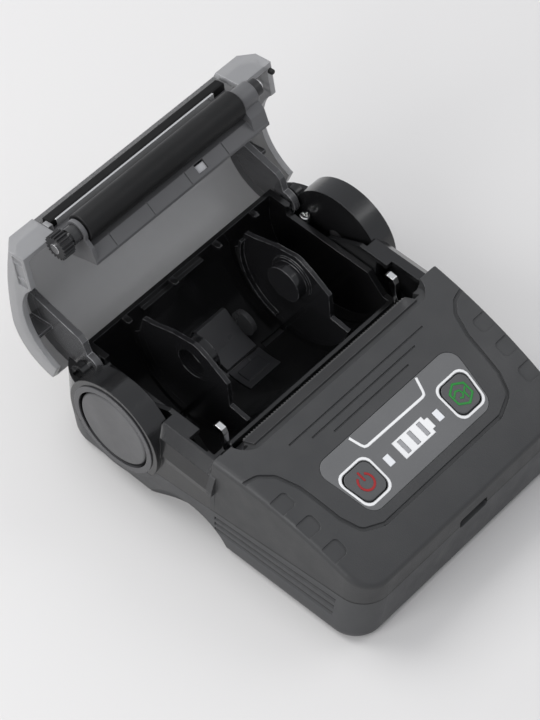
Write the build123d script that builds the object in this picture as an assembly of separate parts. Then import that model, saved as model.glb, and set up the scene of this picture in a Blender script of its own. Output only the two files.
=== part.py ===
from build123d import *
import os
from math import atan2, cos, degrees, hypot, pi, radians, sin, sqrt, tan

# Portable label and receipt printer with its cover open.
# X runs to the right of a person facing the front, Y to the back, Z up.
# The origin is the middle of the underside, which rests on the table. Sizes are in millimetres.

# Driving sizes of the body
body_depth = 139.0
bin_half_width = 44.5
rear_half_width = bin_half_width + 15.1
front_half_width = rear_half_width - 7.0
wide_from_y = 27.0
front_corner_radius = 11.0
rear_corner_radius = 14.0
seam_height = 19.2
case_wall = 2.4
base_floor = 1.8
base_edge_radius = 4.0
base_half_width = rear_half_width - 2.0
foot_scoop_radius = 33.0
foot_scoop_depth = 9.4
groove_radius = 0.9
groove_pitch = 3.1

# Paper path
tear_edge_y = -3.0
tear_edge_height = 41.0
tear_edge_width = 82.0
tooth_pitch = 1.25
tooth_depth = 1.1
blade_thickness = 0.8
blade_depth = 6.0
platen_y = 3.3
platen_height = 36.4
platen_radius = 5.4
platen_left_x = -(bin_half_width - 4.5)
platen_right_x = bin_half_width - 10.0
shaft_radius = 2.0

# Console that carries the keys
console_rear_height = 46.5
console_mid_height = 41.6
console_front_height = 30.5
console_edge_radius = 2.2
channel_half_width = bin_half_width + 3.5
channel_depth_y = 8.0
panel_rear_half_width = 35.0
panel_front_half_width = 30.3
panel_rear_y = -28.4
panel_front_y = -52.2
panel_corner_radius = 5.0
panel_thickness = 0.9
panel_gap = 0.15
key_x = 24.3
key_y = -42.9
key_width = 11.4
key_depth = 11.6
key_slant = 1.2
key_corner_radius = 3.0
key_gap = 0.35
bar_pitch = 4.8
bar_width = 1.5
bar_depth = 5.0
status_x = 12.5
status_width = 2.6
status_depth = 3.8
light_clearance = 0.06

# Roll bin, drums beside it and the open cover
bin_axis_y = 35.2
bin_axis_height = 32.2
bin_radius = 28.6
bin_wall = 1.4
bin_side_wall = 2.4
bin_side_top = 35.0
bin_back_top = 39.4
drum_y = 38.3
drum_height = 29.5
drum_radius = 20.5
drum_inner_x = rear_half_width - 7.6
drum_outer_x = rear_half_width + 1.4
drum_past_x = drum_outer_x + 3.0
drum_half_from_x = drum_inner_x - 7.0
disc_radius = 15.2
disc_thickness = 3.4
disc_gap = 0.9
ring_width = 2.2
hinge_y = 59.9
hinge_height = 35.6
hinge_pin_radius = 1.5
cover_angle = 100.0
cover_wall = 2.2
cover_half_width = rear_half_width + 0.3
cover_shoulder = 4.7
cover_top_height = 64.2
cover_crest_y = 43.0
cover_bulge = 1.3
cover_front_y = 6.2
cover_front_height = 55.8
cover_low = 43.9
cover_notch_x = bin_half_width - 0.3
cheek_clearance = 2.4

# Paper guides in the bin
guide_x = 24.8
guide_thickness = 1.8
guide_inward = 9.2
guide_outward = 15.0
guide_clearance = 0.45
hub_radius = 7.4
hub_length = 5.0
hub_y = 34.5
hub_height = 36.4
rack_module = 0.5
rack_pinion_teeth = 12
rack_width = 1.3
rack_slack = 0.06
rack_low = 1.2
rack_thickness = 1.4
rack_recess = 0.8
rack_reach = 46.0
rack_bay = 6.6
guide_stud_radius = 1.2

# Gears
gear_module = 0.45
platen_teeth = 20
idler_teeth = 36
pinion_teeth = 12
gear_width = 4.6
gear_left_x = -(bin_half_width + 6.9)
running_clearance = 0.06

# Latch
hook_x = bin_half_width - 1.3
hook_thickness = 2.2
latch_shaft_y = -6.0
latch_shaft_height = 21.5
latch_shaft_radius = 1.8

body_front = -body_depth / 2
body_rear = body_depth / 2


def mirror_x(shape):
    return mirror(shape, about=Plane.YZ)


def both_sides(shape):
    return shape + mirror_x(shape)


def block(x0, x1, y0, y1, z0, z1):
    size = (abs(x1 - x0), abs(y1 - y0), abs(z1 - z0))
    return Pos((x0 + x1) / 2, (y0 + y1) / 2, (z0 + z1) / 2) * Box(*size)


def rod_x(x0, x1, y, z, radius):
    return Pos((x0 + x1) / 2, y, z) * Rot(0, 90, 0) * Cylinder(radius, abs(x1 - x0))


def side_prism(edges, x0, x1):
    # A closed outline drawn in the side view (Y to the right, Z up), carried along X.
    face = make_face(edges)
    return extrude(Pos(x0, 0, 0) * face, amount=x1 - x0, dir=(1, 0, 0))


def side_polygon(points, x0, x1):
    wire = Polyline(*[(0, y, z) for y, z in points], close=True)
    return side_prism(wire, x0, x1)


def side_arc(p, q, r):
    return ThreePointArc((0, *p), (0, *q), (0, *r))


def side_line(*points):
    return Polyline(*[(0, *p) for p in points])


def round_edges(shape, edges, radius):
    # A fillet that steps down to a size the wall allows.
    for share in (1.0, 0.7, 0.45, 0.25):
        try:
            return fillet(edges, radius * share)
        except (ValueError, RuntimeError):
            continue
    return shape


def plan_outline(inset=0.0, front=front_half_width, rear=rear_half_width):
    front = front - inset
    rear = rear - inset
    y0 = body_front + inset
    y1 = body_rear - inset
    points = [(-front, y0), (front, y0), (rear, wide_from_y), (rear, y1), (-rear, y1),
              (-rear, wide_from_y)]
    face = make_face(Polyline(*points, close=True))
    corners = face.vertices().sort_by(Axis.Y)
    face = fillet(corners[:2], front_corner_radius - inset * 0.8)
    corners = face.vertices().filter_by(lambda v: abs(v.Y - y1) < 0.01)
    return fillet(corners, rear_corner_radius - inset * 0.8)


def console_top_curve(drop=0.0, y0=None, y1=None):
    # The three heights that the top passes through, lowered by drop.
    a = (tear_edge_y, console_rear_height - drop)
    b = (tear_edge_y - 32.0, console_mid_height - drop)
    c = (body_front + 5.5, console_front_height - drop)
    return a, b, c


def arc_centre(a, b, c):
    (x1, y1), (x2, y2), (x3, y3) = a, b, c
    d = 2 * (x1 * (y2 - y3) + x2 * (y3 - y1) + x3 * (y1 - y2))
    s1, s2, s3 = x1 * x1 + y1 * y1, x2 * x2 + y2 * y2, x3 * x3 + y3 * y3
    ux = (s1 * (y2 - y3) + s2 * (y3 - y1) + s3 * (y1 - y2)) / d
    uy = (s1 * (x3 - x2) + s2 * (x1 - x3) + s3 * (x2 - x1)) / d
    return ux, uy, hypot(x1 - ux, y1 - uy)


def console_height(y, drop=0.0):
    cy, cz, r = arc_centre(*console_top_curve())
    return cz + sqrt(r * r - (y - cy) ** 2) - drop


def console_slope(y):
    cy, cz, r = arc_centre(*console_top_curve())
    return degrees(atan2(cy - y, console_height(y) - cz))


def under_console(drop, x_half, y_front, y_rear, z_low):
    # Everything below the console's top surface, lowered by drop.
    cy, cz, r = arc_centre(*console_top_curve())
    radius = r - drop
    def at(y):
        return cz + sqrt(radius * radius - (y - cy) ** 2)
    mid = (y_front + y_rear) / 2
    edges = side_arc((y_front, at(y_front)), (mid, at(mid)), (y_rear, at(y_rear)))
    rest = side_line((y_rear, at(y_rear)), (y_rear, z_low), (y_front, z_low), (y_front, at(y_front)))
    return side_prism(edges + rest, -x_half, x_half)


def on_console(shape, y, drop=0.0):
    # Places a piece drawn flat at the origin on the console's sloping top at the depth y.
    return Pos(0, y, console_height(y, drop)) * Rot(console_slope(y), 0, 0) * shape


def panel_face(grow=0.0):
    mid = (panel_rear_y + panel_front_y) / 2
    half = (panel_rear_y - panel_front_y) / 2 + grow
    rear = panel_rear_half_width + grow
    front = panel_front_half_width + grow
    face = make_face(Polyline((-front, -half), (front, -half), (rear, half), (-rear, half), close=True))
    return Pos(0, mid) * fillet(face.vertices(), panel_corner_radius + grow)


def key_face(side, grow=0.0):
    half = key_width / 2 + grow
    deep = key_depth / 2 + grow
    outer = side * half
    points = [(-outer, -deep), (outer - side * key_slant, -deep), (outer + side * key_slant, deep),
              (-outer, deep)]
    face = make_face(Polyline(*points, close=True))
    return Pos(side * key_x, key_y) * fillet(face.vertices(), key_corner_radius)


def top_skin(face, drop_top, drop_low):
    # A plate that follows the console's top between two depths below it, cut to the outline of a flat face.
    column = extrude(Pos(0, 0, seam_height) * face, amount=40)
    upper = under_console(drop_top, 70, body_front - 2, tear_edge_y, seam_height)
    lower = under_console(drop_low, 71, body_front - 3, tear_edge_y + 1, seam_height - 1)
    return (column & upper) - lower


def drum(radius, x0, x1):
    return rod_x(x0, x1, drum_y, drum_height, radius)


def tray(inset, floor):
    # The tray widens downwards in front and narrows a little behind.
    top = Pos(0, 0, seam_height) * plan_outline(inset)
    low = Pos(0, 0, floor) * plan_outline(inset, base_half_width, base_half_width)
    return loft([low, top])


def foot_scoop(grow=0.0):
    x = rear_half_width + foot_scoop_radius - foot_scoop_depth
    return both_sides(Pos(-x, 7.0, -8.0) * Sphere(foot_scoop_radius + grow))


# Lower case: tray with the battery bay, the finger scoops and the long side grooves
def lower_case():
    solid = tray(0.0, 0.0)
    low_edges = solid.edges().filter_by(lambda e: e.center().Z < 0.01)
    solid = round_edges(solid, low_edges, base_edge_radius)
    solid -= foot_scoop()
    solid -= tray(case_wall, base_floor) - foot_scoop(case_wall)
    for side in (-1, 1):
        shell = drum(drum_radius, side * drum_inner_x, side * drum_outer_x)
        half = block(side * drum_half_from_x, side * drum_past_x, drum_y - 30, drum_y + 30, 0, seam_height)
        solid += shell & half
        solid -= drum(disc_radius + disc_gap, side * (drum_inner_x + 2.4), side * drum_past_x)
    for i in range(3):
        z = seam_height - 3.6 - groove_pitch * i
        solid -= both_sides(side_groove(z))
    solid -= battery_bay(0.0)
    solid -= usb_cut()
    solid -= block(-rack_reach, rack_reach, slot_y - rack_bay, slot_y + rack_bay,
                   base_floor - rack_recess, base_floor + 1)
    stud_low, stud_high = base_floor - rack_recess - 0.2, rack_low + rack_thickness
    stud_height = stud_high - stud_low
    solid += Pos(0, slot_y, (stud_low + stud_high) / 2) * Cylinder(guide_stud_radius, stud_height)
    solid += bin_saddles()
    solid += case_bosses()
    return solid


def tray_half_width(y, z):
    lean = (rear_half_width - front_half_width) / (wide_from_y - body_front)
    share = (seam_height - z) / seam_height
    return (1 - share) * (front_half_width + lean * (y - body_front)) + share * base_half_width


def side_groove(z):
    # A shallow groove that follows the flaring side of the tray.
    y0, y1 = -57.0, -5.0
    x0, x1 = tray_half_width(y0, z), tray_half_width(y1, z)
    turn = degrees(atan2(x1 - x0, y1 - y0))
    bar = Rot(90, 0, 0) * Cylinder(groove_radius, hypot(x1 - x0, y1 - y0))
    return Pos(-(x0 + x1) / 2, (y0 + y1) / 2, z) * Rot(0, 0, turn) * bar


battery_half_width = 34.0
battery_front_y = -61.0
battery_rear_y = -14.0
battery_height = 14.0
door_gap = 0.2


def battery_bay(inset):
    low = block(-battery_half_width + inset, battery_half_width - inset, battery_front_y + inset,
                battery_rear_y - inset, -1, base_floor + 0.2)
    return low


# Battery door: plate flush with the underside
def battery_door():
    plate = block(-battery_half_width + door_gap, battery_half_width - door_gap,
                  battery_front_y + door_gap,
                  battery_rear_y - door_gap, 0.2, base_floor)
    plate = round_edges(plate, plate.edges().filter_by(Axis.Z), 2.0)
    for i in range(5):
        y = battery_rear_y - 6.0 - 1.6 * i
        plate -= block(-9, 9, y - 0.35, y + 0.35, 0, 0.6)
    return plate


# Battery pack lying on its door
def battery_pack():
    pack = block(-battery_half_width + 1.2, battery_half_width - 1.2, battery_front_y + 1.2,
                 battery_rear_y - 1.2, base_floor, battery_height)
    return round_edges(pack, pack.edges().filter_by(Axis.X), 1.5)


def bin_saddles():
    # Two ribs on the tray's floor that carry the round bottom of the bin.
    ribs = None
    for x in (-30, 30):
        for y in (bin_axis_y - 14, bin_axis_y + 14.5):
            rib = block(x - 1, x + 1, y - 3.5, y + 3.5, base_floor - 0.2, 9)
            ribs = rib if ribs is None else ribs + rib
    return ribs - rod_x(-50, 50, bin_axis_y, bin_axis_height, bin_radius + bin_wall)


case_screw_x = bin_half_width + 5.3
case_screw_y = 51.5
case_screw_height = 33.0
screw_shank_radius = 1.4
screw_head_radius = 2.1
screw_clearance = 0.05


def case_bosses():
    boss = Pos(case_screw_x, case_screw_y, seam_height / 2) * Cylinder(2.3, seam_height)
    boss -= Pos(case_screw_x, case_screw_y, seam_height) * Cylinder(screw_shank_radius + screw_clearance, 9)
    front = Pos(44, -58, seam_height / 2) * Cylinder(3.0, seam_height)
    return both_sides(boss + front)


usb_x = 1.2
usb_width = 14.0
usb_height = 4.4
usb_centre_height = seam_height + 0.6


def usb_cut():
    slot = block(usb_x - usb_width / 2, usb_x + usb_width / 2, body_front - 2, body_front + 6,
                 usb_centre_height - usb_height / 2, usb_centre_height + usb_height / 2)
    return round_edges(slot, slot.edges().filter_by(Axis.Y), 1.2)


# Upper case: console in front, side decks and the drum shells behind
def console_solid():
    lean = 1.7
    outline = extrude(Pos(0, 0, seam_height) * plan_outline(), amount=32, taper=lean)
    top = under_console(0, 70, body_front - 2, tear_edge_y - 0.7, seam_height)
    solid = outline & top
    top_edges = solid.edges().filter_by(lambda e: e.center().Z > console_front_height - 6
                                        and e.center().Y < tear_edge_y - 5 and e.length > 8)
    return round_edges(solid, top_edges, console_edge_radius)


def channel_cut():
    # Paper lands on this slope in front of the tear edge; it is deepest at the edge.
    y1 = tear_edge_y + 1
    y0 = tear_edge_y - channel_depth_y
    slope = side_polygon([(y0, console_height(y0) + 0.1), (tear_edge_y, tear_edge_height),
                          (y1, tear_edge_height),
                          (y1, 60), (y0, 60)], -60, 60)
    stadium = SlotOverall(2 * channel_half_width, 2 * channel_depth_y + 2)
    return slope & extrude(Pos(0, y1, 30) * stadium, amount=30)


def upper_case():
    outer = console_solid()
    lean = 1.7
    hollow = extrude(Pos(0, 0, seam_height - 0.01) * plan_outline(case_wall), amount=34, taper=lean)
    hollow &= under_console(case_wall, 72, body_front - 3, tear_edge_y - 3.2, seam_height - 1)
    y0 = tear_edge_y - channel_depth_y
    z0 = console_height(y0) - case_wall
    fall = (console_height(y0) + 0.1 - tear_edge_height) / channel_depth_y
    z1 = z0 - 0.3 - fall * channel_depth_y
    under_channel = [(y0 - 4, 60), (y0 - 4, z0), (y0 - 0.4, z0 - 0.3), (tear_edge_y, z1), (tear_edge_y, 60)]
    half = channel_half_width + case_wall
    hollow -= side_polygon(under_channel, -half, half)
    solid = outer - hollow
    solid += rear_walls()
    solid += side_decks()
    solid -= channel_cut()
    solid -= top_skin(panel_face(panel_gap), -5, panel_thickness + 0.05)
    for side in (-1, 1):
        solid -= extrude(Pos(0, 0, seam_height) * key_face(side, key_gap), amount=40)
    for x in light_places():
        solid -= light_column(x, 0.4)
    solid -= console_lines()
    solid -= console_dimples()
    solid -= usb_cut()
    solid -= drive_well()
    solid -= block(-head_bay_x, head_bay_x, tear_edge_y - 3.3, tear_edge_y - 0.6, seam_height - 1,
                   head_bay_top)
    return solid


head_bay_x = bin_half_width + 7.9
head_bay_top = 37.6


def console_lines():
    # Three fine grooves across the console, shorter towards the front.
    # A smooth line runs round the raised middle.
    cuts = None
    for i, half in enumerate((33.7, 26.0, 18.8)):
        y = tear_edge_y - 14.3 - 3.35 * i
        bar = on_console(Box(2 * half, 0.7, 1.0), y)
        cuts = bar if cuts is None else cuts + bar
    path = [(-57.0, -16.2), (-50.0, -17.9), (-45.6, -22.0), (-42.6, -30.0), (-40.4, -46.0),
            (-37.4, -53.2), (-29.5, -56.4)]
    left = FilletPolyline(*path, radius=4.5)
    right = mirror_x(left)
    across = Line(left @ 1, right @ 1)
    ribbon = None
    for wire in (left, right, across):
        strip = trace(wire, line_width=1.4)
        ribbon = strip if ribbon is None else ribbon + strip
    return cuts + top_skin(ribbon, -2, 0.7)


def console_dimples():
    # Rounded finger dimples along both shoulders.
    cuts = None
    for i in range(3):
        y = tear_edge_y - 27.3 - 10.9 * i
        x = front_half_width + 0.06 * (y - body_front) - 3.6
        pad = Pos(x + 1.5, y) * RectangleRounded(11.0, 6.0, 1.8)
        cut = both_sides(top_skin(pad, -3, 0.45))
        cuts = cut if cuts is None else cuts + cut
    return cuts


def rear_walls():
    # The outer wall behind the console: it drops beside the decks and rises again at the rear corners.
    ring = extrude(Pos(0, 0, seam_height) * plan_outline(), amount=30, taper=1.0)
    ring -= extrude(Pos(0, 0, seam_height - 1) * plan_outline(case_wall), amount=32, taper=1.0)
    keep = side_polygon([(tear_edge_y - 2, seam_height), (tear_edge_y - 2, 37.6), (24, 32.0), (50, 32.0),
                         (54, 36.0), (body_rear + 1, 36.0), (body_rear + 1, seam_height)], -70, 70)
    walls = ring & keep
    walls -= block(-drum_inner_x - 0.6, drum_inner_x + 0.6, body_rear - 8, body_rear + 2, 26.5, 60)
    for side in (-1, 1):
        shell = drum(drum_radius, side * drum_inner_x, side * drum_outer_x)
        half = block(side * drum_half_from_x, side * drum_past_x, drum_y - 30, drum_y + 30, seam_height, 60)
        walls += shell & half
        walls -= drum(disc_radius + disc_gap, side * (drum_inner_x + 2.4), side * drum_past_x)
        walls -= rod_x(side * (drum_inner_x - 4), side * (drum_inner_x + 4), drum_y, drum_height,
                       stem_radius + running_clearance)
        lug = rod_x(side * (drum_inner_x + 0.2), side * (drum_inner_x + 3.4), hinge_y, hinge_height, 3.6)
        foot = block(side * (drum_inner_x + 0.2), side * (drum_inner_x + 3.4), hinge_y - 3.6,
                     hinge_y + 3.6, seam_height, hinge_height)
        walls += lug + foot
        tie = block(side * (drum_inner_x + 0.2), side * (rear_half_width - 1), hinge_y - 3.6,
                    hinge_y - 1.2, seam_height, 33)
        walls += tie & extrude(Pos(0, 0, seam_height) * plan_outline(1.0), amount=30, taper=1.0)
        walls -= rod_x(side * (drum_inner_x - 2), side * (drum_inner_x + 5), hinge_y, hinge_height,
                       hinge_pin_radius)
    return walls


deck_inner_x = bin_half_width + 2.8
deck_outer_x = bin_half_width + 12.7
deck_height = 42.0
deck_rear_y = 21.5


def side_decks():
    # Low shelf on each side of the paper path, with a sloping outer flank down to the groove by the wall.
    top = deck_height
    flank = deck_outer_x + 1.9
    plan = [(-deck_inner_x, top), (-deck_outer_x + 3.6, top), (-deck_outer_x, top - 3.6),
            (-flank, top - 9.5), (-flank, top - 11.5), (-deck_outer_x + 2.2, top - 11.5),
            (-deck_outer_x + 2.2, top - 4.2), (-deck_outer_x + 4.4, top - 2.2),
            (-deck_inner_x, top - 2.2)]
    face = make_face(Polyline(*[(x, 0, z) for x, z in plan], close=True))
    shelf = extrude(Pos(0, tear_edge_y - 2.5, 0) * face, amount=deck_rear_y - tear_edge_y + 2.5,
                    dir=(0, 1, 0))
    inner = block(-deck_inner_x - 1.8, -deck_inner_x, tear_edge_y + 18.5, deck_rear_y + 17, seam_height,
                  top)
    slope = side_polygon([(deck_rear_y, top + 1), (deck_rear_y + 17.2, bin_side_top - 1),
                          (deck_rear_y + 17.2, top + 1)], -70, 70)
    rear = block(-deck_outer_x + 0.2, -deck_inner_x, deck_rear_y - 1.8, deck_rear_y, seam_height + 8,
                 top - 2)
    return both_sides(shelf + (inner - slope) + (rear - drum(drum_radius + 3, -70, 0)))


def drive_well():
    # Room in the left shelf for the platen gear, and on both sides for the hook and the bushing.
    gear = rod_x(gear_left_x - 1.0, -hook_x + 3, platen_y, platen_height,
                 gear_module * (platen_teeth / 2 + 1) + 0.7)
    up = block(gear_left_x - 1.0, -hook_x + 3, platen_y - 7.4, platen_y + 7.4, platen_height, 60)
    well = gear + up
    narrow = block(-deck_inner_x - 2.6, -hook_x + 3, tear_edge_y - 0.2, platen_y + 7.4, 25, 60)
    slot = block(-hook_x - 1.3, -hook_x + 1.3, tear_edge_y - 3.6, tear_edge_y + 4, 20, 60)
    idler_y, idler_z = idler_centre()
    lower = rod_x(gear_left_x - 1.0, gear_left_x + gear_width + 1.0, idler_y, idler_z,
                  gear_module * (idler_teeth / 2 + 1) + 0.7)
    return well + both_sides(narrow + slot) + lower


# Overlay plate let into the console
def console_panel():
    plate = top_skin(panel_face(), 0.05, panel_thickness)
    for side in (-1, 1):
        plate -= extrude(Pos(0, 0, seam_height) * key_face(side, key_gap), amount=40)
    for x in light_places():
        plate -= light_column(x, light_clearance)
    return plate


# Keys: a cap that follows the panel and a stem that reaches the switch
def console_key(side):
    cap = top_skin(key_face(side), -0.35, 3.0)
    rim = cap.edges().filter_by(lambda e: e.center().Z > console_height(e.center().Y) - 0.2)
    cap = round_edges(cap, rim, 0.3)
    base = console_height(key_y, 3.6)
    stem = Pos(side * key_x, key_y, base) * Rot(console_slope(key_y), 0, 0) * Box(5, 5, 4.2)
    return cap + stem


def switch_board():
    # Small board under the keys with a switch under each stem.
    board = on_console(Box(66, 20, 1.2), key_y, 9.7)
    for side in (-1, 1):
        board += on_console(Pos(side * key_x, 0, 0) * Box(6, 6, 2.4), key_y, 8.2)
    board += on_console(both_sides(Pos(16.0, -7.5, 0) * Box(3, 3, 6.4)), key_y, 6.8)
    return board


# White light guides: three bars of the charge display and two small windows
def light_places():
    return -status_x, -bar_pitch, 0, bar_pitch, status_x


def light_column(x, grow=0.0):
    wide, deep = (status_width, status_depth) if abs(x) == status_x else (bar_width, bar_depth)
    return extrude(Pos(x, key_y, seam_height) * Rectangle(wide + 2 * grow, deep + 2 * grow), amount=40)


def light_guide(x):
    guide = light_column(x) & under_console(0.0, 70, body_front, tear_edge_y, 20)
    return guide - under_console(4.0, 71, body_front - 1, tear_edge_y + 1, 19)


def battery_light():
    bars = light_guide(-bar_pitch) + light_guide(0) + light_guide(bar_pitch)
    tie = Pos(0, key_y, console_height(key_y, 3.6)) * Rot(console_slope(key_y), 0, 0)
    return bars + tie * Box(2 * bar_pitch + bar_width, bar_depth - 1, 1.0)


def status_lights():
    return light_guide(-status_x) + light_guide(status_x)


# Tear blade: a toothed strip lying in the channel
def tear_blade():
    half = tear_edge_width / 2
    count = int(tear_edge_width / tooth_pitch)
    start = -count * tooth_pitch / 2
    points = [(-half, -blade_depth)]
    points.append((-half, 0))
    for i in range(count):
        x = start + i * tooth_pitch
        points.append((x + tooth_pitch * 0.08, 0))
        points.append((x + tooth_pitch * 0.5, tooth_depth))
        points.append((x + tooth_pitch * 0.92, 0))
    points.append((half, 0))
    points.append((half, -blade_depth))
    face = make_face(Polyline(*points, close=True))
    blade = extrude(face, amount=-blade_thickness)
    rise = console_height(tear_edge_y - channel_depth_y) + 0.1 - tear_edge_height
    tilt = degrees(atan2(rise, channel_depth_y))
    lift = blade_thickness / cos(radians(tilt))
    return Pos(0, tear_edge_y, tear_edge_height + lift) * Rot(-tilt, 0, 0) * blade


# Thermal print head: heater plate on a finned carrier, pressed towards the platen
head_angle = 45.0
head_gap = 0.3
head_depth = 6.4
head_travel = 0.6


def head_frame(shape):
    # Local +Z points at the platen's axis, local X runs along the line of print.
    turn = 90 - head_angle
    y = platen_y - (platen_radius + head_gap) * cos(radians(head_angle))
    z = platen_height - (platen_radius + head_gap) * sin(radians(head_angle))
    return Pos(0, y, z) * Rot(-turn, 0, 0) * shape


def print_head():
    width = 2 * (bin_half_width - 4.5)
    plate = Pos(0, 0.4, -0.5) * Box(width, 9.6, 1.0)
    bead = Pos(0, 0, 0.0) * Box(width, 1.0, 0.2)
    carrier = Pos(0, 0.2, -2.6) * Box(width - 1, 9.2, 3.2)
    fins = None
    for i in range(9):
        fin = Pos(-36 + 9.0 * i, 0.2, -5.2) * Box(2.0, 9.2, 2.4)
        fins = fin if fins is None else fins + fin
    return head_frame(plate + bead + carrier + fins)


# Spur gears with involute teeth
pressure_angle = 20.0
gear_addendum = 0.8
gear_dedendum = 1.1


def gear(teeth, width, phase=0.0, backlash=0.12, bore=0.0, module=gear_module):
    # The first tooth points along the angle given as phase.
    pitch = module * teeth / 2
    base = pitch * cos(radians(pressure_angle))
    tip = pitch + module * gear_addendum
    root = pitch - module * gear_dedendum

    def half_angle(r):
        roll = sqrt(max(r / base, 1.0) ** 2 - 1)
        spread = tan(radians(pressure_angle)) - radians(pressure_angle)
        return pi / (2 * teeth) + spread - (roll - atan2(roll, 1)) - backlash / (2 * pitch)

    radii = [root] + [max(base, root) + (tip - max(base, root)) * k / 4 for k in range(5)]
    points = []
    for i in range(teeth):
        a = 2 * pi * i / teeth + radians(phase)
        points += [(r * cos(a - half_angle(r)), r * sin(a - half_angle(r))) for r in radii]
        points += [(r * cos(a + half_angle(r)), r * sin(a + half_angle(r))) for r in reversed(radii)]
    body = extrude(make_face(Polyline(*points, close=True)), amount=width)
    if bore:
        body -= Pos(0, 0, width / 2) * Cylinder(bore, width + 2)
    return body


def gear_at(body, x, y, z):
    # The gear's flat side faces +X; its first tooth points along +Y before the phase is added.
    return Pos(x, y, z) * Plane(origin=(0, 0, 0), x_dir=(0, 1, 0), z_dir=(1, 0, 0)).location * body


idler_direction = -118.0
pinion_direction = 172.0


def idler_centre():
    reach = gear_module * (platen_teeth + idler_teeth) / 2 + 0.15
    turn = radians(idler_direction)
    return platen_y + reach * cos(turn), platen_height + reach * sin(turn)


def pinion_centre():
    y, z = idler_centre()
    reach = gear_module * (idler_teeth + pinion_teeth) / 2 + 0.15
    return y + reach * cos(radians(pinion_direction)), z + reach * sin(radians(pinion_direction))


def mesh_phase(direction, own_teeth, other_teeth, other_phase):
    # Turns a gear so that one of its gaps meets the other gear's tooth across the line of centres.
    other_offset = (direction - other_phase) % (360.0 / other_teeth)
    share = other_offset / (360.0 / other_teeth)
    own_pitch = 360.0 / own_teeth
    facing = direction + 180.0
    return facing + share * own_pitch + own_pitch / 2


platen_phase = 0.0
idler_phase = mesh_phase(idler_direction, idler_teeth, platen_teeth, platen_phase)
pinion_phase = mesh_phase(pinion_direction, pinion_teeth, idler_teeth, idler_phase)
axle_radius = 1.5


def idler_gear():
    y, z = idler_centre()
    return gear_at(gear(idler_teeth, gear_width, idler_phase, bore=axle_radius + running_clearance),
                   gear_left_x, y, z)


def motor_pinion():
    y, z = pinion_centre()
    wheel = gear_at(gear(pinion_teeth, gear_width, pinion_phase), gear_left_x, y, z)
    return wheel + rod_x(gear_left_x + gear_width - 0.2, motor_face_x + 2.5, y, z, 1.0)


motor_face_x = -(hook_x + 1.4)
motor_radius = 5.8
motor_length = 15.0


def drive_motor():
    y, z = pinion_centre()
    can = rod_x(motor_face_x, motor_face_x + motor_length, y, z, motor_radius)
    flange = Pos(motor_face_x + 0.5, y - 2, z) * Box(1.0, 6, 16.4)
    can = can + flange
    return can - rod_x(motor_face_x - 1, motor_face_x + 6, y, z, 1.0 + running_clearance)


frame_inner_x = hook_x + 1.4
frame_sheet = 1.0
frame_floor = 15.2


def mechanism_frame():
    # Folded steel frame that holds the motor, the idler's axle, the head's pivot and the latch shaft.
    iy, iz = idler_centre()
    py, pz = pinion_centre()
    outer_x = frame_inner_x + frame_sheet
    rear = [(4.6, 11), (4.6, 24), (1.2, 24.5), (-3.6, 30)]
    left = side_polygon([(py - 8.5, 11)] + rear + [(py - 8.5, 34)], -outer_x, -frame_inner_x)
    left -= rod_x(-outer_x - 2, -frame_inner_x + 2, py, pz, 3.2)
    axle = rod_x(gear_left_x - 0.4, -frame_inner_x - 0.2, iy, iz, axle_radius)
    right = side_polygon([(-12, 11)] + rear + [(-12, 30)], frame_inner_x, outer_x)
    floor = block(-outer_x, outer_x, -13.5, 4.6, frame_floor, frame_floor + 1.2)
    frame = left + right + floor + axle
    frame -= rod_x(-50, 50, latch_shaft_y, latch_shaft_height, latch_shaft_radius + running_clearance)
    feet = both_sides(block(outer_x - 7.6, outer_x, -12, 4.6, base_floor, frame_floor + 0.1))
    rest = head_frame(Pos(2, 0, -head_depth - head_travel - 0.7) * Box(60, 6.4, 1.2))
    leg = side_polygon([(-9.8, frame_floor), (-8.5, frame_floor), (-8.5, 27.6), (-7.2, 29.4),
                        (-9.8, 30)], 21, 25)
    return frame + feet + rest + both_sides(leg)


# Cover latch: a cross shaft with a bright hook at each end
def latch_shaft():
    reach = hook_x + 3.3
    return rod_x(-reach, reach, latch_shaft_y, latch_shaft_height, latch_shaft_radius)


bushing_radius = 3.3
hook_reach = 22.2


def latch_hook(side):
    # S-shaped hook: the stem leans back from the shaft.
    # The nose points backwards over the roller's bushing.
    y, z = latch_shaft_y, latch_shaft_height
    top = z + hook_reach
    points = [(y - 2.6, z), (y - 1.6, z - 2.9), (y + 2.4, z - 2.9), (y + 3.0, z + 1.5),
              (y + 7.2, z + 8.5),
              (y + 9.0, z + 14.1), (y + 10.4, z + 17.5), (y + 10.8, top - 1.3), (y + 13.2,
                      top - 1.0), (y + 13.6, top + 0.5),
              (y + 12.4, top + 1.5), (y + 9.6, top + 1.2), (y + 8.4, top - 0.9), (y + 8.1,
                      z + 17.3), (y + 6.9, z + 14.5),
              (y + 5.0, z + 8.9)]
    x0 = side * (hook_x - hook_thickness / 2)
    x1 = side * (hook_x + hook_thickness / 2)
    hook = side_polygon(points, min(x0, x1), max(x0, x1))
    hook = round_edges(hook, hook.edges().filter_by(Axis.X), 0.45)
    return hook - rod_x(-60, 60, latch_shaft_y, latch_shaft_height, latch_shaft_radius)


def latch_spring():
    # Flat spring under the frame's floor that presses the shaft's foot.
    return block(-8, 8, latch_shaft_y - 4.5, latch_shaft_y + 4.0, 16.4, 16.9)


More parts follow.
